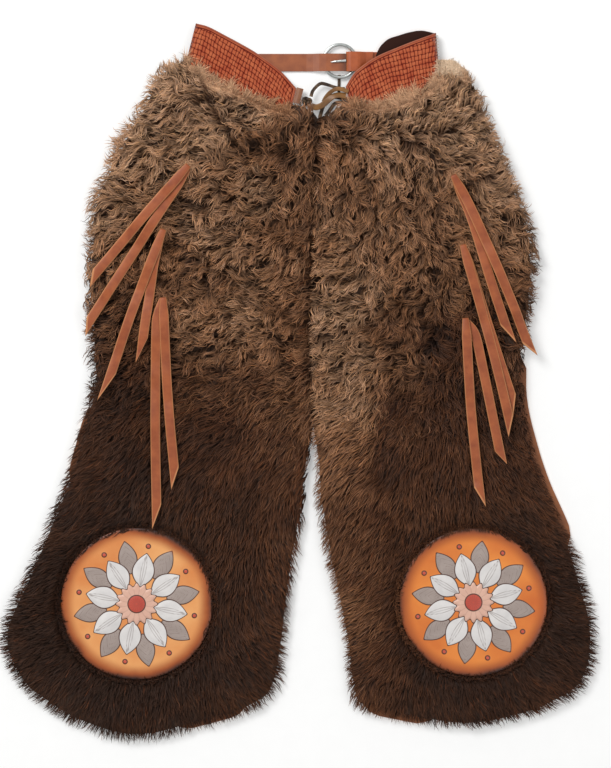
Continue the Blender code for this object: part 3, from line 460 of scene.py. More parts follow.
beltSections = {
    "left": {
        "front": [
            (-27.3, 867.2, -35.9, 835.2, 7.8), (-49.2, 891.1, -61.2, 840.6, 7.8),
            (-75.8, 911.1, -87.8, 852.5, 8.0), (-95.1, 923.0, -111.7, 863.2, 8.8),
            (-125.0, 939.0, -138.3, 873.8, 10.4), (-145.0, 949.0, -157.0, 888.0, 12.0),
            (-161.1, 953.3, -173.1, 906.3, 12.5)],
        "rear": [
            (-161.1, 953.3, -173.1, 906.3, 4.5), (-134.0, 936.0, -148.0, 896.5, 4.5),
            (-102.4, 918.5, -118.0, 884.0, 4.5), (-78.0, 911.0, -88.0, 874.0, 4.5)],
        "outwards": -1,
    },
    "right": {
        "front": [
            (37.9, 869.2, 45.2, 844.6, 7.8), (49.2, 887.1, 65.2, 841.9, 11.3),
            (61.2, 897.8, 86.5, 841.9, 11.8), (79.8, 909.7, 107.7, 845.9, 11.4),
            (104.4, 920.4, 127.7, 852.5, 11.4), (130.0, 930.5, 145.0, 862.0, 12.1),
            (158.3, 940.6, 163.4, 877.0, 12.5)],
        "rear": [
            (158.3, 940.6, 163.4, 877.0, 4.5), (140.0, 944.5, 145.0, 873.5, 4.5),
            (124.0, 942.5, 128.0, 868.5, 4.5), (107.7, 937.7, 113.1, 866.5, 4.5),
            (94.5, 933.0, 99.8, 866.5, 4.5), (84.0, 923.0, 89.0, 869.5, 4.5),
            (78.5, 912.0, 80.0, 877.0, 4.5)],
        "outwards": 1,
    },
}

tieRoutes = {
    # upper strip, then lower strip: places of its middle line, length of the slant at its tip, and the
    # side of the long corner
    "left_top": [([(-170, 763), (-240, 682), (-305.9, 605.1)], 21, -1),
                 ([(-171, 758), (-203, 708), (-312.6, 540)], 23, -1)],
    "left_middle": [([(-203, 678), (-246, 566), (-285.5, 449.5)], 41, 1),
                    ([(-205, 676), (-215, 637), (-222.2, 588), (-228.8, 545), (-234, 500.7)], 35, 1)],
    "left_low": [([(-203.5, 587.9), (-198, 460), (-186.9, 333.8)], 29, 1),
                 ([(-204.5, 587), (-210.5, 566), (-213, 540), (-214.5, 420), (-212.5, 280.6)], 33, 1)],
    "right_top": [([(180, 750), (203.5, 706), (248, 606), (287, 509)], 22, -1),
                  ([(181, 748), (204, 694), (230, 610), (258.5, 526)], 29, -1)],
    "right_middle": [([(192.9, 658), (229.5, 530), (260, 404.3)], 27, 1),
                     ([(193.9, 656), (237, 520), (266, 432.2)], 27, 1)],
    "right_low": [([(196.5, 561), (204, 440), (217.5, 309.9)], 27, -1),
                  ([(197.8, 557.3), (209.5, 538.6), (220.5, 490), (246, 365.8)], 20, -1)],
}


# ---- hair

# which way the hair lies at places on each leg: x, y in mm, direction in degrees from +X
hairFlow = {
    "left": [
        (-138, 408, 140), (-184, 364, 178), (-227, 295, 200), (-254, 213, 208), (-275, 149, 215),
        (-131, 335, 222), (-158, 275, 212), (-65, 351, 330), (-41, 351, 20), (-20, 346, 100),
        (-78, 308, 150), (-49, 308, 170), (2, 322, 262), (-78, 249, 195), (-125, 215, 215),
        (-5, 242, 255), (-45, 175, 215), (-158, 159, 228), (-198, 69, 215), (-258, 56, 212),
        (-131, 69, 200), (-51, 69, 195), (2, 69, 200), (-238, 3, 215), (-131, -24, 212),
        (-38, -24, 215), (8, -64, 235), (-198, -91, 225), (-65, -97, 238), (-278, -104, 220),
        (-317, -237, 205), (-371, -317, 190), (-351, -383, 215), (-304, -416, 232), (-224, -452, 262),
        (-131, -443, 285), (-49, -410, 308), (-16, -343, 335), (-9, -237, 300), (-91, -184, 250),
        (-211, -164, 240), (-251, -197, 225), (-91, -263, 250), (-111, -237, 255), (-38, -290, 300),
        (-122, 408, 100), (-98, 396, 75), (-72, 384, 70), (-46, 370, 80),
    ],
    "right": [
        (35, 359, 300), (62, 362, 60), (88, 368, 80), (135, 378, 88), (175, 362, 40), (204, 395, 75),
        (222, 375, 20), (254, 308, 350), (284, 235, 335), (301, 169, 330), (101, 308, 265),
        (181, 295, 300), (62, 242, 245), (161, 215, 280), (241, 215, 318), (55, 136, 210),
        (135, 109, 250), (228, 109, 300), (288, 82, 325), (42, 42, 200), (108, 42, 212), (175, 29, 250),
        (241, 3, 290), (288, -24, 300), (55, -51, 212), (135, -77, 238), (215, -77, 280),
        (68, -130, 222), (268, -117, 300), (35, -184, 235), (55, -290, 205), (66, -370, 215),
        (95, -431, 250), (175, -443, 280), (268, -426, 300), (348, -396, 320), (390, -343, 345),
        (394, -277, 355), (367, -210, 335), (321, -157, 318), (188, -157, 270), (135, -237, 240),
        (121, -317, 220),
    ],
}

# how dark the hair is at places on each leg, 0 pale brown to 1 nearly black: mostly its own colour, with painted light
# and shade of its lobes and creases
hairDark = {
    "left": [
        (-138, 402, 0.0), (-198, 348, 0.05), (-251, 242, 0.1), (-271, 162, 0.3), (-280, 82, 0.6),
        (-271, -24, 0.86), (-125, 335, 0.1), (-78, 348, 0.12), (-45, 322, 0.45), (2, 308, 0.42),
        (-58, 255, 0.2), (2, 215, 0.46), (-111, 209, 0.22), (-158, 175, 0.42), (-175, 90, 0.62),
        (-131, 82, 0.3),
        (-45, 175, 0.26), (-58, 82, 0.24), (8, 109, 0.46), (-131, 3, 0.66), (-51, -4, 0.58), (2, -11, 0.5),
        (-224, -24, 0.86), (-105, -64, 0.84), (-18, -84, 0.72), (-198, -104, 0.93), (-71, -157, 0.84),
        (-12, -184, 0.74), (-264, -157, 0.97), (-317, -290, 1.0), (-211, -423, 0.98), (-65, -357, 0.92),
        (-131, -197, 0.88), (-51, -250, 0.84), (-25, -317, 0.82),
    ],
    "right": [
        (42, 348, 0.35), (135, 368, 0.08), (204, 395, 0.0), (230, 348, 0.02), (270, 282, 0.08),
        (290, 202, 0.25), (294, 122, 0.5), (82, 269, 0.42), (135, 288, 0.25), (188, 249, 0.3),
        (55, 189, 0.3), (80, 140, 0.2), (135, 162, 0.36), (228, 162, 0.45), (68, 82, 0.12), (85, 30, 0.1),
        (135, 82, 0.5),
        (201, 69, 0.8), (268, 56, 0.66), (55, -24, 0.22), (92, -24, 0.16), (98, -50, 0.25),
        (120, -50, 0.82), (135, -24, 0.8),
        (201, -24, 0.8), (274, -64, 0.86), (62, -104, 0.46), (96, -84, 0.36), (119, -84, 0.84),
        (97, -112, 0.5), (119, -112, 0.84), (140, -104, 0.8),
        (201, -117, 0.84), (62, -184, 0.62), (135, -184, 0.78), (68, -290, 0.52), (101, -237, 0.66),
        (348, -237, 0.92), (387, -317, 0.93), (201, -439, 0.93), (82, -396, 0.7), (321, -157, 0.88),
    ],
}

hairSettings = {
    "curlyAbove": 30.0,        # y in mm where straight hair has turned into curls
    "straightBelow": -100.0,
    "curlyStrands": 23600,     # on each leg
    "straightStrands": 19600,
    "length": (31.0, 25.0),    # curly, straight
    "width": (1.15, 0.95),
    "lock": (15.0, 11.0),      # wide locks
    "strandLock": (5.5, 4.5),  # the points they part into
    "clump": (0.8, 0.6),
    "turn": (0.55, 0.22),      # how far one lock turns from the next, radians
    "wave": (0.75, 0.2),
    "hook": (0.9, 0.22),
    "depth": (13.0, 8.0),
    "rise": (3.4, 1.0),        # how far a lock's middle stands above its rim
    # painted shade towards the rim of each wide lock
    "lockShade": (0.55, 0.22),
    "stops": [0.0, 0.35, 0.7, 1.0],    # darkness at which the four colours of tips and roots hold
    # pale tips and dark roots: partly the hair's own colour, partly painted highlight on the tips and painted shade
    # deep in the pile
    "tips": ["#E8B890", "#B8835D", "#6B4229", "#3E271B"],
    "roots": ["#4A2A17", "#372012", "#24140C", "#150B07"],
    "cream": ["#B4977A", "#E9CDAE"],
    "rust": "#7A4324",
    "tone": {"left": (0.93, 1.0), "right": (0.88, 1.0)},
    "worn": "#6E4630",
    # places where the hair ends short of the frame's edge or past it: x, y, how wide, change in mm
    "reachTrim": {
        "left": [(-245, 316, 24, 9.0), (-8, -290, 70, -6.0), (14, -100, 36, -4.5), (-285, 110, 30, -3.0)],
        "right": [(262, 330, 75, -7.5), (300, 90, 40, -4.0), (245, -462, 80, -7.0), (50, -330, 90, -5.5),
                  (126, -452, 15, -4.0), (80, -446, 22, 4.0), (236, 396, 20, -6.0),
                  (26, -100, 42, -5.5), (365, -212, 22, 5.0)],
    },
    # tufts standing out of the edge: x, y, how wide in mm, direction, strands
    "edgeTufts": {"left": [(-235, 317, 5, 172, 90), (-223, 334, 5, 165, 50), (-238, 300, 4, 182, 40)], "right": []},
    "tieTuft": 230,            # strands over each tie's root
    "rimHair": 2200,           # strands over each plaque's rim
    "wingHair": 2300,          # strands over each belt half's lower edge
    "hipHair": 900,            # pale strands over the corner behind the right belt half
}


def spreadValues(rows, x, y):
    # inverse-distance mean of the table's values at each place
    table = np.array(rows, float)
    total, weight = 0.0, 0.0
    for px, py, value in table:
        near = 1.0 / ((x - px) ** 2 + (y - py) ** 2 + 150.0) ** 1.7
        total, weight = total + near * value, weight + near
    return total / weight


def spreadDirections(rows, x, y):
    turned = [(px, py, math.cos(math.radians(a))) for px, py, a in rows]
    raised = [(px, py, math.sin(math.radians(a))) for px, py, a in rows]
    return np.arctan2(spreadValues(raised, x, y), spreadValues(turned, x, y))


def hairColours(darkness, names):
    stops = np.array([hexColour(name) for name in names])
    return np.stack([np.interp(darkness, hairSettings["stops"], stops[:, k]) for k in range(3)], -1)


def cellsOf(x, y, size, rng):
    # a jittered cell for each place: its number pair, its middle and eight random values of its own
    i, j = np.floor(x / size).astype(int), np.floor(y / size).astype(int)
    own = rng.uniform(-1, 1, (8, 256, 256))[:, i % 256, j % 256]
    return (i + 0.5 + 0.35 * own[0]) * size, (j + 0.5 + 0.35 * own[1]) * size, own


def ribbons(line, width, heading, tilt):
    # strands as flat bands two points wide at each place on their line and one at the tip
    places, count = line.shape[:2]
    along = unit(np.gradient(line, axis=0))
    up = np.stack([-np.sin(heading) * np.sin(tilt), np.cos(heading) * np.sin(tilt), np.cos(tilt)], -1)
    across = unit(np.cross(along, np.broadcast_to(up, along.shape)))
    points = np.empty((count, 2 * places - 1, 3))
    points[:, 0:-1:2] = (line[:-1] + across[:-1] * width[:-1, :, None] / 2).transpose(1, 0, 2)
    points[:, 1:-1:2] = (line[:-1] - across[:-1] * width[:-1, :, None] / 2).transpose(1, 0, 2)
    points[:, -1] = line[-1]
    return points


def growHair(side, curly, count, seed):
    # Each strand is a narrow ribbon. Its line starts deep in the pile and runs along the hair's
    # direction with the wave of its lock; strands draw together towards the tip of their small lock,
    # and the middle of a wide lock stands above its rim.
    kind = 0 if curly else 1
    look = {key: value[kind] for key, value in hairSettings.items() if isinstance(value, tuple)}
    rng = np.random.default_rng(seed)
    bed = beds[side]
    low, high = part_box(f"leg_fur_{side}")
    x = rng.uniform(low[0] / mm, high[0] / mm, count * 3)
    y = rng.uniform(low[1] / mm, high[1] / mm, count * 3)
    share = ((y - hairSettings["straightBelow"])
             / (hairSettings["curlyAbove"] - hairSettings["straightBelow"])).clip(0, 1)
    chosen = rng.uniform(0, 1, len(x)) < (share if curly else 1 - share)
    between = meetingHair(x, y)
    rooted = (bed.read(bed.outline, x, y) > 1.0 - 9.0 * between) & (bed.read(bed.furry, x, y) > np.where(y > 300, -5.0, -2.0))
    keep = np.flatnonzero(chosen & rooted)[:count]
    x, y = x[keep], y[keep]
    order = np.lexsort((x, np.floor(y / 12)))
    x, y = x[order], y[order]
    inside = bed.read(bed.outline, x, y)
    count = len(x)

    bendX = 6 * valueNoise(x, y, 19, seed + 1)
    bendY = 6 * valueNoise(x, y, 19, seed + 2)
    wideX, wideY, wide = cellsOf(x + bendX, y + bendY, look["lock"], rng)
    wideX, wideY = wideX - bendX, wideY - bendY
    smallX, smallY, small = cellsOf(x + bendX, y + bendY, look["strandLock"], rng)
    smallX, smallY = smallX - bendX, smallY - bendY
    fromMiddle = (np.hypot(x - wideX, y - wideY) / (0.72 * look["lock"])).clip(0, 1.2)

    heading = spreadDirections(hairFlow[side], wideX, wideY)
    heading = heading + look["turn"] * (0.8 * valueNoise(wideX, wideY, 34, seed + 3) + 0.7 * wide[2])
    heading = heading + 0.35 * look["turn"] * small[2] + rng.normal(0, 0.11, count)
    aheadX, aheadY = x + 9 * np.cos(heading), y + 9 * np.sin(heading)
    cream = (1.6 * np.exp(-((aheadX - 207) / 16) ** 2 - ((aheadY - 423) / 10) ** 2)).clip(0, 1)[:, None]
    length = look["length"] * (0.9 + 0.2 * wide[3] + 0.12 * small[3]) * rng.uniform(0.75, 1.12, count)
    # along the right hip and knee the hair by the edge is worn down to a smooth brown band
    bare = (side == "right") * np.exp(-(inside / 11) ** 2) * (x > 200) * ((55 - y) / 25).clip(0, 1) \
        * ((y + 235) / 40).clip(0, 1)
    length = length * (1 - 0.55 * cream[:, 0]) * (1 - 0.5 * bare)
    hook = look["hook"] * (0.8 * wide[4] + 0.4 * small[4]) + rng.normal(0, 0.12, count)
    waves = 1.1 + 0.3 * wide[5]
    phase = math.pi * (wide[6] + 0.25 * small[6])
    segments = 5 if curly else 4
    steps = np.linspace(0, 1, segments + 1)

    # strands lie half before and half behind their place, so that a parting stays covered
    backX = -0.32 * length * np.cos(heading)
    backY = -0.32 * length * np.sin(heading)
    free = (bed.read(bed.outline, x + backX, y + backY) > 2) & (bed.read(bed.furry, x + backX, y + backY) > -1.5)
    backX, backY = backX * free, backY * free
    x, y, smallX, smallY = x + backX, y + backY, smallX + backX, smallY + backY
    inside = bed.read(bed.outline, x, y)

    def strandLine(stretch):
        px, py = smallX.copy(), smallY.copy()
        lineX, lineY = [px], [py]
        for t in (steps[1:] + steps[:-1]) / 2:
            turn = heading + hook * t + look["wave"] * np.cos(2 * np.pi * waves * t + phase)
            px = px + np.cos(turn) * length * stretch / segments
            py = py + np.sin(turn) * length * stretch / segments
            lineX.append(px)
            lineY.append(py)
        gather = 1 - look["clump"] * steps[:, None] ** 0.8
        return (np.array(lineX) + (x - smallX) * gather, np.array(lineY) + (y - smallY) * gather)

    # a strand that would run past the hide's edge, or over a plaque or the belt, is shorter
    lineX, lineY = strandLine(1.0)
    wisp = small[7].clip(0, 1)
    reach = rng.uniform(0.5, 8.5, count) + (6.0 if curly else 4.0) * wisp + 14.0 * meetingHair(x, y)
    for px, py, size, change in hairSettings["reachTrim"][side]:
        reach = reach + change * np.exp(-((x - px) ** 2 + (y - py) ** 2) / size**2)
    reach = reach * (1 - bare) - 0.6 * bare
    atWing = y > 300
    atRightWing = np.exp(-((x - 133) / 24) ** 2) * atWing
    over = rng.uniform(0.5, 4.0 + 9.0 * atWing, count) + (2.5 + 2.5 * atWing + 9.0 * atRightWing) * wisp
    tipOut = bed.read(bed.outline, lineX[-1], lineY[-1]) + reach
    tipOver = bed.read(bed.open, lineX[-1], lineY[-1]) + over
    clearHere = bed.read(bed.open, x, y) + over
    fit = np.where(tipOut < 0, (inside + reach) / (inside + reach - tipOut), 1.0)
    fit = np.minimum(fit, np.where(tipOver < 0, clearHere / (clearHere - tipOver), 1.0)).clip(0.12, 1.0)
    lineX, lineY = strandLine(fit)

    cover = bed.read(bed.cover, lineX, lineY)
    t = steps[:, None]
    above = look["rise"] * (0.75 - fromMiddle**2) + rng.normal(0, 0.5, count) + 0.25 * look["rise"] * wide[7]
    curlUp = 0.35 * look["rise"] * np.sin(2 * np.pi * waves * t + phase * 1.7)
    lineZ = cover + above * (0.5 + 0.5 * t) - look["depth"] * (1 - t) ** 1.3 + curlUp * t
    onLid = bed.read(bed.open, lineX, lineY) < 0.5
    lineZ = np.where(onLid, np.maximum(lineZ, cover + 0.7), lineZ)
    line = np.stack([lineX, lineY, np.maximum(lineZ, 0.7)], -1)

    width = look["width"] * rng.uniform(0.75, 1.25, count) * (1 - 0.65 * t**1.5)
    points = ribbons(line, width, heading, rng.uniform(-0.6, 0.6, count))

    darkness = spreadValues(hairDark[side], x, y) + 0.08 * valueNoise(x, y, 30, seed + 5)
    # random spread, and painted light: curly hair paler near the outline, where the pile lies open, but not where the
    # legs meet
    darkness = darkness + rng.normal(0, 0.06, count) - (0.3 if curly else 0.0) * np.exp(-inside.clip(0) / 9) * (1 - meetingHair(x, y))
    # painted shade: hair darker round the lower plaques
    shadeNearPlaque = np.exp(-bed.read(bed.open, x, y).clip(0) / 16) * (y < -100)
    darkness = (darkness + 0.25 * shadeNearPlaque).clip(0, 1)
    tip = hairColours(darkness, hairSettings["tips"])
    root = hairColours(darkness, hairSettings["roots"])
    rust = hexColour(hairSettings["rust"]) * rng.uniform(0.4, 1.1, (count, 1))
    isRust = (rng.uniform(0, 1, count) < np.where(inside < 14, 0.25, 0.03) * darkness)[:, None]
    tip = np.where(isRust, rust, tip)
    worn = (bare * rng.uniform(0.5, 1, count))[:, None]
    tip = tip * (1 - worn) + hexColour(hairSettings["worn"]) * worn
    tip = tip * (1 - cream) + hexColour(hairSettings["cream"][1]) * cream
    root = root * (1 - cream) + hexColour(hairSettings["cream"][0]) * cream
    # root to tip, dark to pale: the hair's own change of colour with painted shade deep in the pile and painted
    # highlight on the tips
    fade = np.repeat(steps ** (1.7 if curly else 0.8), 2)[:-1]
    colour = root[:, None] * (1 - fade[None, :, None]) + tip[:, None] * fade[None, :, None]
    # painted shade: each wide lock darker towards its rim, with a random tone of its own
    shade = 1 - look["lockShade"] * fromMiddle**2 + 0.45 * look["lockShade"] * (wide[6] + 0.6 * small[5])
    own = np.exp(rng.normal(-0.02, 0.24 if curly else 0.16, count)) * hairSettings["tone"][side][kind]
    golden = 1 + rng.normal(0, 0.04, (count, 1)) * np.array([[1.0, 0.2, -1.6]])
    colour = colour * ((shade * own).clip(0.15, 2)[:, None] * golden)[:, None]
    return points, colour.clip(0, 1)


def growShortHair(side, x, y, heading, length, lift, rng, tone=1.0, pale=None):
    # short strands laid over an edge: deep at the root, then up and over by the given lifts in mm
    bed = beds[side]
    steps = np.linspace(0, 1, 4)[:, None]
    turn = heading + 0.5 * rng.normal(0, 1, len(x)) * steps
    lineX = x + np.cos(turn) * length * steps
    lineY = y + np.sin(turn) * length * steps
    height = np.interp(steps[:, 0], [0, 0.35, 0.7, 1], [-4.0, 0.3, 1.0, 0.75])[:, None]
    lineZ = bed.read(bed.cover, lineX, lineY) + np.where(height < 0, height, height * lift)
    width = 0.95 * rng.uniform(0.75, 1.25, len(x)) * (1 - 0.65 * steps**1.5)
    points = ribbons(np.stack([lineX, lineY, np.maximum(lineZ, 0.7)], -1), width, heading,
                     rng.uniform(-0.6, 0.6, len(x)))
    darkness = (spreadValues(hairDark[side], x, y) + rng.normal(0, 0.08, len(x))).clip(0, 1)
    # root to tip, dark to pale: the hair's own colour with painted shade at the root and painted highlight at the tip
    fade = np.repeat(steps[:, 0] ** 1.3, 2)[:-1][None, :, None]
    root, tip = hairColours(darkness, hairSettings["roots"]), hairColours(darkness, hairSettings["tips"])
    if pale is not None:
        root = root * (1 - pale[:, None]) + hexColour(hairSettings["cream"][0]) * pale[:, None]
        tip = tip * (1 - pale[:, None]) + hexColour(hairSettings["cream"][1]) * pale[:, None]
    colour = root[:, None] * (1 - fade) + tip[:, None] * fade
    return points, (colour * tone * rng.uniform(0.8, 1.2, (len(x), 1, 1))).clip(0, 1)


def growRimHair(side, seed):
    # the hair round a plaque, leaning in over its rim and along the hair next to it
    rng = np.random.default_rng(seed)
    count = hairSettings["rimHair"]
    given = plaqueSettings[side]
    angle = np.sort(rng.uniform(0, 2 * np.pi, count))
    away = given["radius"] + rng.uniform(3.0, 8.0, count)
    x = given["middle"][0] + partShift[0] + away * np.cos(angle)
    y = given["middle"][1] + partShift[1] + away * np.sin(angle)
    tuft = valueNoise(away * angle, away, 7, seed)
    flow = spreadDirections(hairFlow[side], x, y)
    heading = np.arctan2(0.8 * np.sin(flow) - np.sin(angle), 0.8 * np.cos(flow) - np.cos(angle))
    heading = heading + 0.5 * tuft + rng.normal(0, 0.35, count)
    length = rng.uniform(3.0, 8.5, count) * (1 + 0.6 * tuft)
    # painted shade: these strands by the plaque's rim are darker and cooler
    return growShortHair(side, x, y, heading, length, rng.uniform(0.8, 2.2, count), rng,
                         np.array([0.85, 0.76, 0.68]))


def growWingHair(side, seed):
    # the pale locks that stand up over the lower edge of a belt half
    rng = np.random.default_rng(seed)
    count = hairSettings["wingHair"]
    edge = resample(np.array([row[2:4] for row in beltSections[side]["front"]], float), 1.0) + partShift[:2]
    along = unit(np.gradient(edge, axis=0))
    place = np.sort(rng.integers(0, len(edge), count))
    below = rng.uniform(0.5, 13.0, count)
    up = np.stack([-along[:, 1], along[:, 0]], 1)
    up = up * np.sign(up[:, 1:2])
    x, y = (edge[place] - up[place] * below[:, None]).T
    tuft = valueNoise(place * 1.0, below, 8, seed)
    lean = valueNoise(place * 1.0, below, 16, seed + 1)
    heading = np.arctan2(up[place, 1], up[place, 0]) + 0.9 * lean + 0.5 * tuft + rng.normal(0, 0.2, count)
    longer = 1 + 0.7 * np.exp(-((x - 133) / 26) ** 2) * (side == "right")
    length = below * 0.75 + rng.uniform(3, 12, count) * (1 + 1.5 * tuft).clip(0.1, 2.6) * longer
    tone = np.exp(0.28 * valueNoise(place * 1.0, below * 1.5, 7, seed + 2) + 0.12 * rng.normal(0, 1, count))
    return growShortHair(side, x, y, heading, length, rng.uniform(0.9, 3.0, count), rng, 1.08 * tone[:, None, None])


def growHipHair(seed):
    # pale soft hair up to a rounded top behind the end of the right belt half
    rng = np.random.default_rng(seed)
    count = hairSettings["hipHair"]
    x = np.sort(rng.uniform(186, 221, count))
    top = 428.5 - 20.0 * ((x - 202) / 22).clip(0, 2) ** 1.5
    y = top - rng.uniform(2.5, 24, count)
    heading = 1.5 - 0.02 * (x - 203) + 0.4 * valueNoise(x, y, 9, seed) + rng.normal(0, 0.2, count)
    length = np.minimum(rng.uniform(7, 14, count), top + rng.uniform(-0.5, 2.5, count) - y)
    pale = (1.3 - ((x - 205) / 17).clip(-0.3, 2) ** 2 - ((418 - y) / 22).clip(0, 2) ** 2).clip(0, 1)
    return growShortHair("right", x, y, heading, length, rng.uniform(1.0, 4.0, count), rng, 1.0, pale)


def growTieTufts(side, seed):
    # hair closing over the slit each tie comes out of, and tufts that stand out of the edge
    rng = np.random.default_rng(seed)
    parts = []
    for px, py, size, heading, count in hairSettings["edgeTufts"][side]:
        parts.append(np.stack([rng.normal(px, size, count), rng.normal(py, size, count),
                               np.radians(heading) + rng.normal(0, 0.3, count)], 1))
    for name, strips in tieRoutes.items():
        if not name.startswith(side):
            continue
        route = np.array(strips[0][0], float) + partShift[:2]
        ahead = unit(route[1] - route[0])
        away = rng.uniform(-12, 2, hairSettings["tieTuft"])
        off = rng.uniform(-10, 10, hairSettings["tieTuft"])
        parts.append(np.stack([route[0, 0] + ahead[0] * away - ahead[1] * off,
                               route[0, 1] + ahead[1] * away + ahead[0] * off,
                               math.atan2(ahead[1], ahead[0]) + rng.normal(0, 0.35, len(off)) - off / 22], 1))
    x, y, heading = np.vstack(parts).T
    return growShortHair(side, x, y, heading, rng.uniform(9, 17, len(x)), rng.uniform(3.0, 6.5, len(x)), rng, 1.05)


def addHairPiece(name, points, colour, material, node):
    # ribbons as triangles: two for each stretch and one at the tip; the bake map gives each its own cell
    count, corners = points.shape[:2]
    pairs = (corners - 1) // 2
    pattern = []
    for k in range(pairs - 1):
        a = 2 * k
        pattern += [(a, a + 1, a + 3), (a, a + 3, a + 2)]
    pattern.append((corners - 3, corners - 2, corners - 1))
    pattern = np.array(pattern)
    faces = (pattern[None] + (np.arange(count) * corners)[:, None, None]).reshape(-1, 3)
    piece = meshFromArrays(name, points.reshape(-1, 3), faces.ravel(), np.full(len(faces), 3), material)
    addAttribute(piece, "hairColour", np.concatenate([colour.reshape(-1, 3), np.ones((count * corners, 1))], 1))
    cells = int(math.ceil(math.sqrt(count)))
    column, row = np.arange(count) % cells, np.arange(count) // cells
    t = np.repeat(np.linspace(0, 1, pairs + 1), 2)[:-1]
    side = np.r_[np.tile([0.15, 0.85], pairs), 0.5]
    u = (column[:, None] + 0.08 + 0.84 * t[None]) / cells
    v = (row[:, None] + 0.1 + 0.8 * side[None]) / cells
    place = np.stack([u, v], -1).reshape(-1, 2)
    layer = piece.data.uv_layers.new(name="OFBake")
    layer.data.foreach_set("uv", place[faces.ravel()].astype(np.float32).ravel())
    dress(piece, "hair_on_hide", node)
    return len(faces)


def hairMaterial():
    # shorn and tumbled hair on the hide: low sheen, each lock's colour carried on its strands
    made, tree, shader = newMaterial("hairOnHide")
    colour = addNode(tree, "ShaderNodeAttribute", {"attribute_name": "hairColour"})
    tree.links.new(colour.outputs["Color"], shader.inputs["Base Color"])
    shader.inputs["Roughness"].default_value = 0.6
    shader.inputs["Specular IOR Level"].default_value = 0.15
    return made


def addHideBase(side, material):
    # the hide and the dense underfur: the frame's solid drawn in at its edge and sunk by half its pile
    data = nodes[f"leg_fur_{side}"].data
    points = np.empty(len(data.vertices) * 3, np.float32)
    data.vertices.foreach_get("co", points)
    points = points.reshape(-1, 3).astype(float) / mm
    corners = np.empty(len(data.loops), np.int32)
    data.loops.foreach_get("vertex_index", corners)
    sizes = np.empty(len(data.polygons), np.int32)
    data.polygons.foreach_get("loop_total", sizes)
    bed = beds[side]
    x, y, z = points.T
    edge = bed.read(bed.outline, x, y)
    slopeX = bed.read(bed.outline, x + 3, y) - bed.read(bed.outline, x - 3, y)
    slopeY = bed.read(bed.outline, x, y + 3) - bed.read(bed.outline, x, y - 3)
    # it reaches out under the belt's front and where the two legs meet
    atFront = ((y - 320) / 20).clip(0, 1) * (np.abs(x - 25) < 70)
    drawIn = 7.0 - 11.0 * np.maximum(atFront, meetingHair(x, y))
    inwards = unit(np.stack([slopeX, slopeY], -1)) * (drawIn * np.exp(-edge.clip(0) / 9.0))[:, None]
    hideTop = 5.7
    sunk = np.where(z > hideTop, hideTop + (z - hideTop) * 0.5, z)
    made = np.column_stack([x + inwards[:, 0], y + inwards[:, 1], sunk])
    piece = meshFromArrays(f"hideBase{side.capitalize()}", made, corners, sizes, material)
    dress(piece, "hair_on_hide", f"leg_fur_{side}")
    return piece


def underfurMaterial():
    # the dense wool under the guard hair, seen only between locks: its own dark brown, kept darker still as painted
    # shade in the gaps
    made, tree, shader = newMaterial("underfurOnHide")
    place = addNode(tree, "ShaderNodeTexCoord").outputs["Object"]
    tufts = addNode(tree, "ShaderNodeTexNoise", {"in_Scale": 240.0, "in_Detail": 6.0}, Vector=place)
    colour = addNode(tree, "ShaderNodeValToRGB", None, Fac=tufts.outputs["Fac"])
    colour.color_ramp.elements[0].color = rgba("#20130B")
    colour.color_ramp.elements[1].color = rgba("#4A301F")
    tree.links.new(colour.outputs["Color"], shader.inputs["Base Color"])
    shader.inputs["Roughness"].default_value = 0.9
    return made


hair = hairMaterial()
underfur = underfurMaterial()
hairTriangles = 0
hides = {side: addHideBase(side, underfur) for side in ("left", "right")}
for legIndex, leg in enumerate(("left", "right")):
    for curlyHair, zone in ((True, "Curly"), (False, "Straight")):
        wanted = hairSettings["curlyStrands" if curlyHair else "straightStrands"]
        strands, shades = growHair(leg, curlyHair, wanted, 100 + 10 * legIndex + (5 if curlyHair else 0))
        half = len(strands) // 2
        for number, part in enumerate((slice(0, half), slice(half, None))):
            hairTriangles += addHairPiece(f"hair{leg.capitalize()}{zone}{number + 1}", strands[part],
                                          shades[part], hair, f"leg_fur_{leg}")
    short = [growRimHair(leg, 300 + legIndex), growTieTufts(leg, 310 + legIndex), growWingHair(leg, 320 + legIndex)]
    if leg == "right":
        short.append(growHipHair(330))
    hairTriangles += addHairPiece(f"hair{leg.capitalize()}Over", np.vstack([part[0] for part in short]),
                                  np.vstack([part[1] for part in short]), hair, f"leg_fur_{leg}")
print("hair has", hairTriangles, "triangles")


# ---- belt halves

beltSettings = {
    "thick": 3.0, "foldRadius": 4.0, "foldMiddle": 8.5, "step": 1.0,
    "pair": 9.8, "row": 6.5, "lean": {"left": -5.0, "right": 7.0}, "border": 4.6, "stampDepth": 0.6,
}


def basketStamp(u, v):
    # Level of the stamped leather, 1 on top and 0 in the grooves: in each row wide strands run along with
    # narrow upright ones between them, and every other row is set over by half a pair.
    fromRow = np.abs(v % 1 * 2 - 1)
    f = (u + 0.5 * (np.floor(v) % 2)) % 1
    brick = (1 - ((fromRow - 0.6) / 0.3).clip(0, 1)) * (1 - ((np.abs(f / 0.3 - 1) - 0.5) / 0.5).clip(0, 1) ** 2)
    upright = (1 - ((np.abs(f * 5 - 4) - 0.5) / 0.5).clip(0, 1)) * (1 - 0.4 * fromRow**2)
    return np.where(f < 0.6, brick, upright)


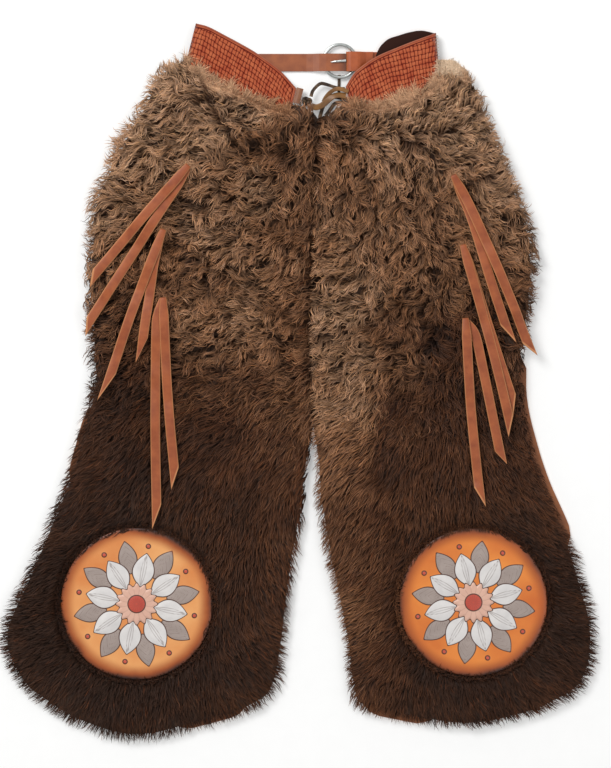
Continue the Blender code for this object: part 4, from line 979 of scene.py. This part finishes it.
def addBelt(side, material):
    # Catmull-Rom wings with straight sections across, joined by a half turn at the hip
    given = beltSections[side]
    step = beltSettings["step"]
    across = np.linspace(0, 1, 58)[None, :, None]
    up = np.array([0.0, 0.0, 1.0])

    def wing(rows, facing, coarse):
        line = smoothCurve(rows)
        middle = (line[:, 0:2] + line[:, 2:4]) / 2
        length = np.r_[0, np.cumsum(np.linalg.norm(np.diff(middle, axis=0), axis=1))]
        t = np.linspace(0, 1, int(length[-1] / (step * coarse)) + 1)
        places = np.linspace(0, 1, len(line))
        row = np.stack([np.interp(t, places, axis) for axis in line.T], -1)
        flat = row[:, None, 0:2] * (1 - across) + row[:, None, 2:4] * across
        grid = np.concatenate([flat, np.broadcast_to(row[:, None, 4:5], flat.shape[:2] + (1,))], 2)
        return grid, np.broadcast_to(up * facing, grid.shape)

    front, frontFacing = wing(given["front"], 1, 1.0)
    rear, rearFacing = wing(given["rear"], -1, 2.5)
    edge = front[-1, -1] - front[-1, 0]
    out = unit(np.cross(edge, up)) * given["outwards"]
    turn = np.radians(np.linspace(90, -90, 15))[1:-1, None, None]
    foldFacing = np.broadcast_to(out * np.cos(turn) + up * np.sin(turn), (13, across.shape[1], 3))
    fold = front[-1] * [1, 1, 0] + up * beltSettings["foldMiddle"] + foldFacing * beltSettings["foldRadius"]
    middle = np.concatenate([front, fold, rear])
    facing = np.concatenate([frontFacing, foldFacing, rearFacing])
    run = np.linalg.norm(np.diff(middle[:, 20], axis=0), axis=1)
    s = np.r_[0, np.cumsum(run)][:, None] * np.ones((1, middle.shape[1]))
    w = np.linalg.norm(middle[:, -1] - middle[:, 0], axis=1)[:, None] * across[:, :, 0]
    border = beltSettings["border"]
    lean = math.radians(beltSettings["lean"][side])
    u = (s * math.cos(lean) + w * math.sin(lean)) / beltSettings["pair"] + 40 + 0.13 * valueNoise(s, w, 13, 44)
    v = (w * math.cos(lean) - s * math.sin(lean)) / beltSettings["row"] + 40 + 0.16 * valueNoise(s, w, 17, 45)
    fromBorder = np.minimum(w, s) - border
    groove = np.exp(-(fromBorder / 0.8) ** 2) + 0.6 * np.exp(-((fromBorder + border - 1.9) / 0.6) ** 2)
    stamp = np.where(fromBorder < 0, 0.8, basketStamp(u, v)) * (1 - groove.clip(0, 1))
    bevel = (w / 1.6).clip(0, 1)
    half = beltSettings["thick"] / 2
    outer = half - beltSettings["stampDepth"] * (1 - stamp) - 0.5 * (1 - bevel)
    piece = gridShell(f"belt{side.capitalize()}", middle + partShift, facing, outer, np.full(s.shape, half), material)
    zeros = np.zeros(s.size)
    for name, values in (("weaveU", u), ("weaveV", v), ("fromBorder", fromBorder)):
        addAttribute(piece, name, np.r_[values.ravel(), zeros])
    addAttribute(piece, "flesh", np.r_[zeros, zeros + 1])
    addAttribute(piece, "edgeWear", np.r_[(np.exp(-w / 1.2) + np.exp(-s / 1.2)).clip(0, 0.85).ravel(), zeros])
    # painted shade round the fold, which the material flecks with pale scuffs
    atFold = np.abs(s - s[front.shape[0] + 6, 0]) / 9 + 0.25 * valueNoise(s, w, 5, 43)
    addAttribute(piece, "foldShadeAndScuffs", np.r_[(1.25 - atFold).clip(0, 0.8).ravel(), zeros])
    dress(piece, "belt_leather", f"belt_{side}")
    return piece


def stampedBeltLeather():
    # russet skirting leather, basket stamped: dark antique in the grooves, rubbed high spots, dark flesh side, painted
    # shade with pale scuffs round the fold
    made, tree, shader = newMaterial("basketStampedSkirtingLeather")
    place = addNode(tree, "ShaderNodeTexCoord").outputs["Object"]
    flesh = addNode(tree, "ShaderNodeAttribute", {"attribute_name": "flesh"})
    wear = addNode(tree, "ShaderNodeAttribute", {"attribute_name": "edgeWear"})
    fromBorder = addNode(tree, "ShaderNodeAttribute", {"attribute_name": "fromBorder"}).outputs["Fac"]
    cloudy = addNode(tree, "ShaderNodeTexNoise", {"in_Scale": 90.0, "in_Detail": 5.0}, Vector=place)

    def sumNode(operation, first, second=None, **fixed):
        links = {"in0": first} if second is None else {"in0": first, "in1": second}
        return addNode(tree, "ShaderNodeMath", {"operation": operation, **fixed}, **links).outputs[0]

    def rangeNode(source, fromMin, fromMax, toMin=0.0, toMax=1.0):
        return addNode(tree, "ShaderNodeMapRange", {
            "in_From Min": fromMin, "in_From Max": fromMax, "in_To Min": toMin, "in_To Max": toMax,
            "interpolation_type": "SMOOTHSTEP"}, Value=source).outputs["Result"]

    # the same weave as the stamped relief, read from the piece's own grid so that its grooves stay sharp
    u, v = [addNode(tree, "ShaderNodeAttribute", {"attribute_name": name}).outputs["Fac"]
            for name in ("weaveU", "weaveV")]
    fromRow = sumNode("ABSOLUTE", sumNode("MULTIPLY_ADD", sumNode("FRACT", v), in_1=2.0, in_2=-1.0))
    odd = sumNode("MODULO", sumNode("FLOOR", v), in_1=2.0)
    f = sumNode("FRACT", sumNode("ADD", u, sumNode("MULTIPLY", odd, in_1=0.5)))
    ahead = sumNode("ABSOLUTE", sumNode("MULTIPLY_ADD", f, in_1=3.3333, in_2=-1.0))
    aside = sumNode("ABSOLUTE", sumNode("MULTIPLY_ADD", f, in_1=5.0, in_2=-4.0))
    brick = sumNode("MULTIPLY", rangeNode(fromRow, 0.5, 0.95, 1.0, 0.08), rangeNode(ahead, 0.45, 1.0, 0.95, 0.18))
    upright = sumNode("MULTIPLY", rangeNode(aside, 0.4, 1.0, 1.12, 0.18), rangeNode(fromRow, 0.3, 1.1, 1.0, 0.5))
    woven = addNode(tree, "ShaderNodeMix", None, in0=sumNode("LESS_THAN", f, in_1=0.6), in2=upright, in3=brick).outputs[0]
    uneven = sumNode("MULTIPLY", woven, rangeNode(cloudy.outputs["Fac"], 0.3, 0.7, 0.72, 1.2))
    field = addNode(tree, "ShaderNodeMix", {"in_2": 0.75}, in0=rangeNode(fromBorder, -0.2, 0.3), in3=uneven).outputs[0]
    line = rangeNode(sumNode("ABSOLUTE", fromBorder), 0.3, 1.1)
    secondLine = rangeNode(sumNode("ABSOLUTE", sumNode("ADD", fromBorder, in_1=2.7)), 0.2, 0.8, 0.45, 1.0)
    level = sumNode("MULTIPLY", sumNode("MULTIPLY", field, line), secondLine)
    high = addNode(tree, "ShaderNodeValToRGB", None, Fac=cloudy.outputs["Fac"])
    high.color_ramp.elements[0].color = rgba("#A0462A")
    high.color_ramp.elements[0].position = 0.32
    high.color_ramp.elements[1].color = rgba("#B86440")
    high.color_ramp.elements[1].position = 0.72
    grain = addNode(tree, "ShaderNodeMix", {"data_type": "RGBA", "in_6": rgba("#560A00")},
                    in0=rangeNode(level, 0.0, 0.85), in7=high.outputs["Color"])
    rubbed = addNode(tree, "ShaderNodeMix", {"data_type": "RGBA", "in_7": rgba("#8E5A48")},
                     in0=wear.outputs["Fac"], in6=grain.outputs[2])
    # painted shade over the fold, flecked with pale scuffs
    foldShadeAndScuffs = addNode(tree, "ShaderNodeAttribute", {"attribute_name": "foldShadeAndScuffs"})
    scuffs = addNode(tree, "ShaderNodeTexNoise", {"in_Scale": 420.0, "in_Detail": 4.0}, Vector=place)
    shadedScuffs = addNode(tree, "ShaderNodeMix", {"data_type": "RGBA", "in_6": rgba("#3E2222"), "in_7": rgba("#A88E8A")},
                      in0=rangeNode(scuffs.outputs["Fac"], 0.45, 0.72))
    folded = addNode(tree, "ShaderNodeMix", {"data_type": "RGBA"}, in0=foldShadeAndScuffs.outputs["Fac"],
                     in6=rubbed.outputs[2], in7=shadedScuffs.outputs[2])
    colour = addNode(tree, "ShaderNodeMix", {"data_type": "RGBA", "in_7": rgba("#2C130B")},
                     in0=flesh.outputs["Fac"], in6=folded.outputs[2])
    shader.inputs["Specular IOR Level"].default_value = 0.12
    tree.links.new(colour.outputs[2], shader.inputs["Base Color"])
    pores = addNode(tree, "ShaderNodeTexNoise", {"in_Scale": 900.0, "in_Detail": 3.0}, Vector=place)
    relief = addNode(tree, "ShaderNodeBump", {"in_Strength": 0.5, "in_Distance": 0.0005}, Height=level)
    bump = addNode(tree, "ShaderNodeBump", {"in_Strength": 0.25, "in_Distance": 0.0002},
                   Height=pores.outputs["Fac"], Normal=relief.outputs["Normal"])
    tree.links.new(bump.outputs["Normal"], shader.inputs["Normal"])
    tree.links.new(rangeNode(level, 0.0, 1.0, 0.62, 0.38), shader.inputs["Roughness"])
    return made


beltLeather = stampedBeltLeather()
belts = {side: addBelt(side, beltLeather) for side in ("left", "right")}
print("belt halves are stamped")


# ---- round plaques

def addPlaque(side):
    # a disc in rings: petals, leaves and an eye swell out of its face where their edge distance is positive
    given = plaqueSettings[side]
    radius = given["radius"]
    share = np.linspace(0, 1, plaqueSettings["rings"] + 1)[1:, None]
    angle = np.linspace(0, 2 * np.pi, plaqueSettings["segments"], endpoint=False)[None]
    r = share * np.ones_like(angle)
    petalTurn = (angle + given["turn"] + np.pi / 8) % (np.pi / 4) - np.pi / 8
    leafTurn = (angle + given["turn"]) % (np.pi / 4) - np.pi / 8
    petalShare = ((r - 0.22) / 0.46).clip(0, 1)
    petal = (0.34 * np.sin(np.pi * petalShare**0.75) - np.abs(petalTurn)) * r * radius
    petal = np.minimum(petal, np.minimum(r - 0.22, 0.68 - r) * radius * 1.5)
    leafShare = ((r - 0.4) / 0.44).clip(0, 1)
    leaf = (0.2 * np.sin(np.pi * leafShare**0.8) - np.abs(leafTurn)) * r * radius
    leaf = np.minimum(leaf, np.minimum(r - 0.4, 0.84 - r) * radius * 1.5)
    cup = (0.255 + 0.024 * np.cos(16 * angle) - r) * radius
    eye = (0.115 - r) * radius
    bead = 3.0 - np.hypot((r - 0.775) * radius, (petalTurn * r) * radius)
    vein = np.minimum(np.abs(petalTurn) * r * radius, np.abs(np.abs(petalTurn) * r * radius - 3.2 * np.sin(
        np.pi * petalShare)))
    vein = np.where(petal > 1.5, vein, 9.0)
    hatch = np.where(leaf > 0.8, np.abs((r * radius + 1.2 * np.abs(leafTurn) * r * radius) % 4.2 - 2.1), 9.0)
    hatch = np.where(cup > 1.0, np.abs((angle * 16 / np.pi) % 2 - 1) * 6 * r + 0.5, hatch)
    swell = lambda edge, height, soft: height * (edge / soft).clip(0, 1) ** 0.6
    face = plaqueSettings["face"] + np.maximum.reduce(
        [swell(petal, 1.3, 7.0), swell(leaf, 0.9, 5.0), swell(cup, 1.7, 4.0) + swell(eye, 0.8, 4.0),
         swell(bead, 0.9, 2.0), 0 * r])
    face = face - 0.8 * ((r - 0.94) / 0.06).clip(0, 1) ** 2
    x = given["middle"][0] + partShift[0] + radius * r * np.cos(angle)
    y = given["middle"][1] + partShift[1] + radius * r * np.sin(angle)
    rings, segments = r.shape
    top = np.stack([x, y, face], -1).reshape(-1, 3)
    low = np.stack([x[-1], y[-1], np.full(segments, plaqueSettings["base"])], -1)
    middle = np.array(given["middle"]) + partShift[:2]
    points = np.vstack([top, low, [*middle, plaqueSettings["face"] + 2.5], [*middle, plaqueSettings["base"]]])
    index = np.arange((rings + 1) * segments).reshape(rings + 1, segments)
    after = np.roll(index, -1, axis=1)
    quads = np.stack([index[:-1], index[1:], after[1:], after[:-1]], -1).reshape(-1, 4)
    topPole, lowPole = len(points) - 2, len(points) - 1
    caps = np.vstack([np.stack([np.full(segments, topPole), index[0], after[0]], 1),
                      np.stack([np.full(segments, lowPole), after[-1], index[-1]], 1)])
    piece = meshFromArrays(f"plaque{side.capitalize()}", points, np.r_[quads.ravel(), caps.ravel()],
                           np.r_[np.full(len(quads), 4), np.full(len(caps), 3)],
                           paintedPlaqueLeather(side, given["field"]))
    faceOut(piece)
    fill = np.full(segments, -9.0)
    for name, values, pole in (("petal", petal, -9.0), ("leaf", leaf, -9.0), ("cup", cup, 20.0),
                               ("eye", eye, 10.0), ("bead", bead, -9.0), ("toolLine", np.minimum(vein, hatch), 9.0)):
        addAttribute(piece, name, np.r_[values.ravel(), fill, pole, -9.0])
    addAttribute(piece, "fromMiddle", np.r_[r.ravel(), np.ones(segments), 0.0, 1.0])
    dress(piece, "plaque_leather", f"medallion_{side}")


def paintedPlaqueLeather(side, field):
    # tooled strap leather with resist paint: flat colours inside dark tool lines, an airbrushed darker border, and at
    # the very edge a near-black ring, partly that dye and partly painted shade under the hair lying over the rim
    made, tree, shader = newMaterial(f"paintedTooledLeather{side.capitalize()}")
    place = addNode(tree, "ShaderNodeTexCoord").outputs["Object"]
    cloudy = addNode(tree, "ShaderNodeTexNoise", {"in_Scale": 14.0, "in_Detail": 4.0}, Vector=place)
    ground = addNode(tree, "ShaderNodeValToRGB", None, Fac=cloudy.outputs["Fac"])
    ground.color_ramp.elements[0].color = rgba(field[1])
    ground.color_ramp.elements[0].position = 0.3
    ground.color_ramp.elements[1].color = rgba(field[0])
    ground.color_ramp.elements[1].position = 0.68
    wash = addNode(tree, "ShaderNodeTexNoise", {"in_Scale": 60.0, "in_Detail": 5.0}, Vector=place)
    colour = ground.outputs["Color"]
    paints = [("bead", "#B23F2E", "#CE5A43"), ("leaf", "#8A7B74", "#A99A92"), ("petal", "#BDB9B8", "#E4E0DC"),
              ("cup", "#C99A86", "#DDB49F"), ("eye", "#A83A2C", "#C4523F")]
    for name, dark, pale in paints:
        edge = addNode(tree, "ShaderNodeAttribute", {"attribute_name": name})
        inside = addNode(tree, "ShaderNodeMapRange", {"in_From Min": -0.2, "in_From Max": 0.3}, Value=edge.outputs["Fac"])
        paint = addNode(tree, "ShaderNodeMix", {"data_type": "RGBA", "in_6": rgba(dark), "in_7": rgba(pale)},
                        in0=wash.outputs["Fac"])
        filled = addNode(tree, "ShaderNodeMix", {"data_type": "RGBA"}, in0=inside.outputs["Result"], in6=colour,
                         in7=paint.outputs[2])
        far = addNode(tree, "ShaderNodeMath", {"operation": "ABSOLUTE"}, in0=edge.outputs["Fac"])
        line = addNode(tree, "ShaderNodeMapRange", {"in_From Min": 1.0, "in_From Max": 0.5}, Value=far.outputs[0])
        outlined = addNode(tree, "ShaderNodeMix", {"data_type": "RGBA", "in_7": rgba("#4A2C20")},
                           in0=line.outputs["Result"], in6=filled.outputs[2])
        colour = outlined.outputs[2]
    tool = addNode(tree, "ShaderNodeAttribute", {"attribute_name": "toolLine"})
    cutIn = addNode(tree, "ShaderNodeMapRange", {"in_From Min": 0.75, "in_From Max": 0.15, "in_To Max": 0.55},
                    Value=tool.outputs["Fac"])
    tooled = addNode(tree, "ShaderNodeMix", {"data_type": "RGBA", "in_7": rgba("#5B4238")},
                     in0=cutIn.outputs["Result"], in6=colour)
    colour = tooled.outputs[2]
    reach = addNode(tree, "ShaderNodeAttribute", {"attribute_name": "fromMiddle"})
    uneven = addNode(tree, "ShaderNodeMath", {"operation": "MULTIPLY_ADD", "in_1": 0.22, "in_2": -0.11},
                     in0=cloudy.outputs["Fac"])
    reached = addNode(tree, "ShaderNodeMath", {"operation": "ADD"}, in0=reach.outputs["Fac"], in1=uneven.outputs[0])
    burn = addNode(tree, "ShaderNodeMapRange", {"in_From Min": 0.8, "in_From Max": 0.96,
                                                "interpolation_type": "SMOOTHSTEP"}, Value=reached.outputs[0])
    burnt = addNode(tree, "ShaderNodeMix", {"data_type": "RGBA", "in_7": rgba("#9C4A17")},
                    in0=burn.outputs["Result"], in6=colour)
    # near-black ring at the edge: airbrushed dye deepened by painted shade under the hair over the rim
    shade = addNode(tree, "ShaderNodeMapRange", {"in_From Min": 0.92, "in_From Max": 1.02,
                                                 "interpolation_type": "SMOOTHSTEP"}, Value=reached.outputs[0])
    rimmed = addNode(tree, "ShaderNodeMix", {"data_type": "RGBA", "in_7": rgba("#2A120A")},
                     in0=shade.outputs["Result"], in6=burnt.outputs[2])
    tree.links.new(rimmed.outputs[2], shader.inputs["Base Color"])
    shader.inputs["Roughness"].default_value = 0.42
    bump = addNode(tree, "ShaderNodeBump", {"in_Strength": 0.2, "in_Distance": 0.0003}, Height=wash.outputs["Fac"])
    tree.links.new(bump.outputs["Normal"], shader.inputs["Normal"])
    return made


for leg in ("left", "right"):
    addPlaque(leg)
print("plaques are tooled")


# ---- ties, straps, backs and small leather parts

tieSettings = {"width": 12.7, "thick": 2.0, "rootWidth": 0.6, "rootTaper": 24.0, "crown": 0.5, "step": 3.0}


def addTie(name):
    # two strips to a tie: straight across, slanted at the tip, rounded at the cut edges, bowed a little
    tree = rayTree(f"tie_{name}")
    across = np.linspace(-1, 1, 9)[None, :]
    for number, (route, tipCut, corner) in enumerate(tieRoutes[name]):
        line = resample(smoothCurve(route), tieSettings["step"]) + partShift[:2]
        length = np.r_[0, np.cumsum(np.linalg.norm(np.diff(line, axis=0), axis=1))]
        rays = [tree.ray_cast(Vector((x * mm, y * mm, 0.2 if number == 0 else -0.1)),
                              Vector((0, 0, -1 if number == 0 else 1)))[0] for x, y in line]
        known = [i for i, hit in enumerate(rays) if hit is not None]
        half = tieSettings["thick"] / 2
        level = [rays[i].z / mm + (-half if number == 0 else half) for i in known]
        level = np.interp(length, length[known], level)
        share = np.linspace(0, 1, len(line))[:, None]
        s = share * (length[-1] - tipCut * (1 - corner * across) / 2)
        x, y, z = (np.interp(s, length, axis) for axis in (line[:, 0], line[:, 1], level))
        along = unit(np.gradient(line, axis=0))
        sideX, sideY = np.interp(s, length, along[:, 1]), np.interp(s, length, -along[:, 0])
        wide = tieSettings["width"] / 2 * (tieSettings["rootWidth"] + (1 - tieSettings["rootWidth"])
                                           * (s / tieSettings["rootTaper"]).clip(0, 1) ** 0.7)
        bow = tieSettings["crown"] * (1 - across**2) * np.cos(s / 31 + number)
        middle = np.stack([x + sideX * wide * across, y + sideY * wide * across, z + bow.clip(-0.1, 1)], -1)
        facing = np.broadcast_to(np.array([0.0, 0.0, 1.0]), middle.shape)
        skin = half * (1 - 0.55 * np.abs(across) ** 8) * np.ones_like(s)
        label = f"tie{''.join(part.capitalize() for part in name.split('_'))}{'Upper' if number == 0 else 'Lower'}"
        piece = gridShell(label, middle, facing, skin, skin, tieLeather)
        nearTip = (share > 0.985) * np.ones_like(s)
        worn = 0.8 * np.maximum(np.abs(across) ** 18 * np.ones_like(s), nearTip)
        addAttribute(piece, "cutEdge", np.r_[worn.ravel(), worn.ravel()])
        dress(piece, "tie_leather", f"tie_{name}")


for tieName in tieRoutes:
    addTie(tieName)
print("ties are cut")


def finerCopy(nodeName, slotName, material, edge):
    # the frame's own form, with its cut edges rounded
    data = nodes[nodeName].data
    points = np.empty(len(data.vertices) * 3, np.float32)
    data.vertices.foreach_get("co", points)
    corners = np.empty(len(data.loops), np.int32)
    data.loops.foreach_get("vertex_index", corners)
    sizes = np.empty(len(data.polygons), np.int32)
    data.polygons.foreach_get("loop_total", sizes)
    label = "".join(part.capitalize() for part in nodeName.split("_"))
    piece = meshFromArrays(f"fine{label}", points.reshape(-1, 3).astype(float) / mm, corners, sizes, material)
    rounded = piece.modifiers.new("roundedEdges", "BEVEL")
    rounded.width = edge * mm
    rounded.segments = 2
    rounded.limit_method = "ANGLE"
    rounded.angle_limit = math.radians(40)
    rounded.harden_normals = False
    dress(piece, slotName, nodeName)
    return piece


def waxedThread():
    # waxed linen thread, laid in short even stitches
    made, tree, shader = newMaterial("waxedLinenThread")
    place = addNode(tree, "ShaderNodeTexCoord").outputs["Object"]
    twist = addNode(tree, "ShaderNodeTexNoise", {"in_Scale": 1400.0, "in_Detail": 2.0}, Vector=place)
    colour = addNode(tree, "ShaderNodeValToRGB", None, Fac=twist.outputs["Fac"])
    colour.color_ramp.elements[0].color = rgba("#A58E7C")
    colour.color_ramp.elements[1].color = rgba("#DCC9B4")
    tree.links.new(colour.outputs["Color"], shader.inputs["Base Color"])
    shader.inputs["Roughness"].default_value = 0.6
    return made


thread = waxedThread()


def addStitches(name, starts, ends, thick, slotName):
    # each stitch is a spindle of three rings of six points with a pole at both ends
    along = unit(ends - starts)
    sideways = unit(np.cross(along, [0.0, 0.0, 1.0]))
    upwards = np.cross(sideways, along)
    turn = np.linspace(0, 2 * np.pi, 6, endpoint=False)
    rings = []
    for share, swell in ((0.12, 0.7), (0.5, 1.0), (0.88, 0.7)):
        middle = starts + (ends - starts) * share
        rings.append(middle[:, None] + thick / 2 * swell * (
            np.cos(turn)[None, :, None] * sideways[:, None] + np.sin(turn)[None, :, None] * upwards[:, None]))
    points = np.concatenate([*rings, starts[:, None], ends[:, None]], 1)
    index = np.arange(6)
    after = (index + 1) % 6
    faces = np.vstack([np.stack([index + 6 * k, after + 6 * k, after + 6 * k + 6], 1) for k in range(2)]
                      + [np.stack([index + 6 * k, after + 6 * k + 6, index + 6 * k + 6], 1) for k in range(2)]
                      + [np.stack([np.full(6, 18), after, index], 1), np.stack([index + 12, after + 12,
                                                                             np.full(6, 19)], 1)])
    every = (faces[None] + 20 * np.arange(len(points))[:, None, None]).reshape(-1, 3)
    piece = meshFromArrays(name, points.reshape(-1, 3), every.ravel(), np.full(len(every), 3), thread)
    faceOut(piece)
    dress(piece, slotName)
    return piece


def stitchesOn(line, pitch, share):
    # starts and ends of stitches evenly along a line
    places = resample(line, pitch)
    run = places[1:] - places[:-1]
    return places[:-1] + run * (1 - share) / 2, places[:-1] + run * (1 + share) / 2


def addWhipStitches():
    # over the fold of the right belt half, from its face round to its edge
    edge = resample(np.array([[158.3, 940.6, 0.0], [163.4, 877.0, 0.0]]) + partShift, 3.9)[1:-1]
    starts = edge + [-2.2, -0.6, 14.35]
    ends = edge + [2.6, 0.6, 13.3]
    addStitches("whipStitches", starts, ends, 0.8, "belt_leather")


def addBackSeam(side):
    # thread showing on the back, all round, 6 mm in from the leather's edge
    low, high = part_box(f"leg_back_{side}")
    tree = rayTree(f"leg_back_{side}")
    x0, y0 = low[0] / mm - 12, low[1] / mm - 12
    gx, gy = np.meshgrid(np.arange(x0, high[0] / mm + 12, 3.0), np.arange(y0, high[1] / mm + 12, 3.0), indexing="ij")
    field = signedDistance(castDown(tree, gx, gy) > 0, 3.0)
    middle = np.array([(low[0] + high[0]) / 2, (low[1] + high[1]) / 2]) / mm
    angle = np.linspace(0, 2 * np.pi, 1440, endpoint=False)
    reach = np.arange(20, 620, 1.0)[:, None]
    px, py = middle[0] + reach * np.cos(angle), middle[1] + reach * np.sin(angle)
    i = ((px - x0) / 3.0).clip(0, field.shape[0] - 1).round().astype(int)
    j = ((py - y0) / 3.0).clip(0, field.shape[1] - 1).round().astype(int)
    out = (field[i, j] > 6.0)
    last = len(reach) - 1 - np.argmax(out[::-1], axis=0)
    radius = reach[last, 0]
    smooth = np.mean([np.roll(radius, k) for k in range(-4, 5)], axis=0)
    line = np.stack([middle[0] + smooth * np.cos(angle), middle[1] + smooth * np.sin(angle),
                     np.full(len(angle), 0.1)], 1)
    starts, ends = stitchesOn(np.vstack([line, line[:1]]), 6.0, 0.62)
    addStitches(f"backSeam{side.capitalize()}", starts, ends, 0.7, "back_leather")


def addKnot():
    # the lace wound twice round itself: a tube on a closed curve that goes round two and three times
    turn = np.linspace(0, 2 * np.pi, 150, endpoint=False)
    wide = 2 + np.cos(3 * turn)
    centre = np.array([-13.6, 850.5, 8.2]) + partShift
    line = centre + np.stack([wide * np.cos(2 * turn) * 1.85, wide * np.sin(2 * turn) * 1.45,
                              np.sin(3 * turn) * 2.6], 1)
    along = unit(np.roll(line, -1, 0) - np.roll(line, 1, 0))
    sideways = unit(np.cross(along, [0.3, 0.2, 1.0]))
    upwards = np.cross(sideways, along)
    around = np.linspace(0, 2 * np.pi, 10, endpoint=False)
    tube = line[:, None] + 1.9 * np.cos(around)[None, :, None] * sideways[:, None] \
        + 1.9 * np.sin(around)[None, :, None] * upwards[:, None]
    index = np.arange(1500).reshape(150, 10)
    ahead = np.roll(index, -1, 0)
    quads = np.stack([index, ahead, np.roll(ahead, -1, 1), np.roll(index, -1, 1)], -1).reshape(-1, 4)
    piece = meshFromArrays("laceKnotWound", tube.reshape(-1, 3), quads.ravel(), np.full(len(quads), 4), darkLace)
    faceOut(piece)
    dress(piece, "dark_lace", "lace_knot")


addWhipStitches()
for leg in ("left", "right"):
    addBackSeam(leg)
addKnot()
print("stitches and knot are in")

finerCopy("strap_billet", "strap_leather", strapLeather, 1.1)
chape = finerCopy("strap_chape", "strap_leather", chapeLeather, 0.7)
finerCopy("belt_end_left", "belt_leather", keeperLeather, 0.9)
finerCopy("lace_tail", "dark_lace", darkLace, 0.25)
backs = {side: finerCopy(f"leg_back_{side}", "back_leather", backLeather, 0.7) for side in ("left", "right")}
for materialSlot in nodes["buckle_prong"].material_slots:
    materialSlot.material = nickel


def closeFold(piece):
    # the fold of the chape drawn a little over the ring's side, which the photograph hides
    points = np.empty(len(piece.data.vertices) * 3, np.float32)
    piece.data.vertices.foreach_get("co", points)
    points = points.reshape(-1, 3)
    fromEnd = (points[:, 0] - points[:, 0].min()) / mm
    points[:, 0] -= 2.0 * mm * (1 - fromEnd / 6.0).clip(0, 1)
    piece.data.vertices.foreach_set("co", points.ravel())
    piece.data.update()


def addRing():
    # a flat band on a circle, with an oval section
    low, high = [np.array(corner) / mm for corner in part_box("buckle_ring")]
    middle, radius = (low + high) / 2 + (0, 1.4, 0), (high[0] - low[0]) / 2 + 0.7
    wide, tall = 2.3, 0.4 * (high[2] - low[2])
    turn = np.linspace(0, 2 * np.pi, 120, endpoint=False)[:, None]
    around = np.linspace(0, 2 * np.pi, 16, endpoint=False)[None]
    oval = lambda value: np.sign(value) * np.abs(value) ** 0.9
    r = radius - wide + wide * oval(np.cos(around))
    points = middle + np.stack([r * np.cos(turn), r * np.sin(turn), tall * oval(np.sin(around)) + 0 * turn], -1)
    index = np.arange(120 * 16).reshape(120, 16)
    ahead = np.roll(index, -1, 0)
    quads = np.stack([index, ahead, np.roll(ahead, -1, 1), np.roll(index, -1, 1)], -1).reshape(-1, 4)
    piece = meshFromArrays("ringBand", points.reshape(-1, 3), quads.ravel(), np.full(len(quads), 4), nickel)
    faceOut(piece)
    dress(piece, "nickel", "buckle_ring")


closeFold(chape)
addRing()


def addFloor():
    # seamless pale paper on a light table, so that shadows on it stay faint
    made, tree, shader = newMaterial("studioPaper")
    place = addNode(tree, "ShaderNodeTexCoord").outputs["Object"]
    fibre = addNode(tree, "ShaderNodeTexNoise", {"in_Scale": 40.0}, Vector=place)
    colour = addNode(tree, "ShaderNodeValToRGB", None, Fac=fibre.outputs["Fac"])
    colour.color_ramp.elements[0].color = rgba("#DDDDDC")
    colour.color_ramp.elements[1].color = rgba("#E1E1E0")
    tree.links.new(colour.outputs["Color"], shader.inputs["Base Color"])
    shader.inputs["Roughness"].default_value = 0.9
    shader.inputs["Emission Color"].default_value = rgba("#FFFFFF")
    shader.inputs["Emission Strength"].default_value = 0.22
    mesh = bpy.data.meshes.new("floor")
    mesh.from_pydata([(-6, -6, -0.0005), (6, -6, -0.0005), (6, 6, -0.0005), (-6, 6, -0.0005)], [], [(0, 1, 2, 3)])
    mesh.materials.append(made)
    floor = bpy.data.objects.new("floor", mesh)
    bpy.context.scene.collection.objects.link(floor)


addFloor()

added = [o for o in bpy.context.scene.objects if o.type == "MESH" and o.name not in nodes and o.name != "floor"]
for piece in added:
    piece.data.calc_loop_triangles()
print("added triangles", sum(len(piece.data.loop_triangles) for piece in added),
      "largest", max((len(piece.data.loop_triangles), piece.name) for piece in added))
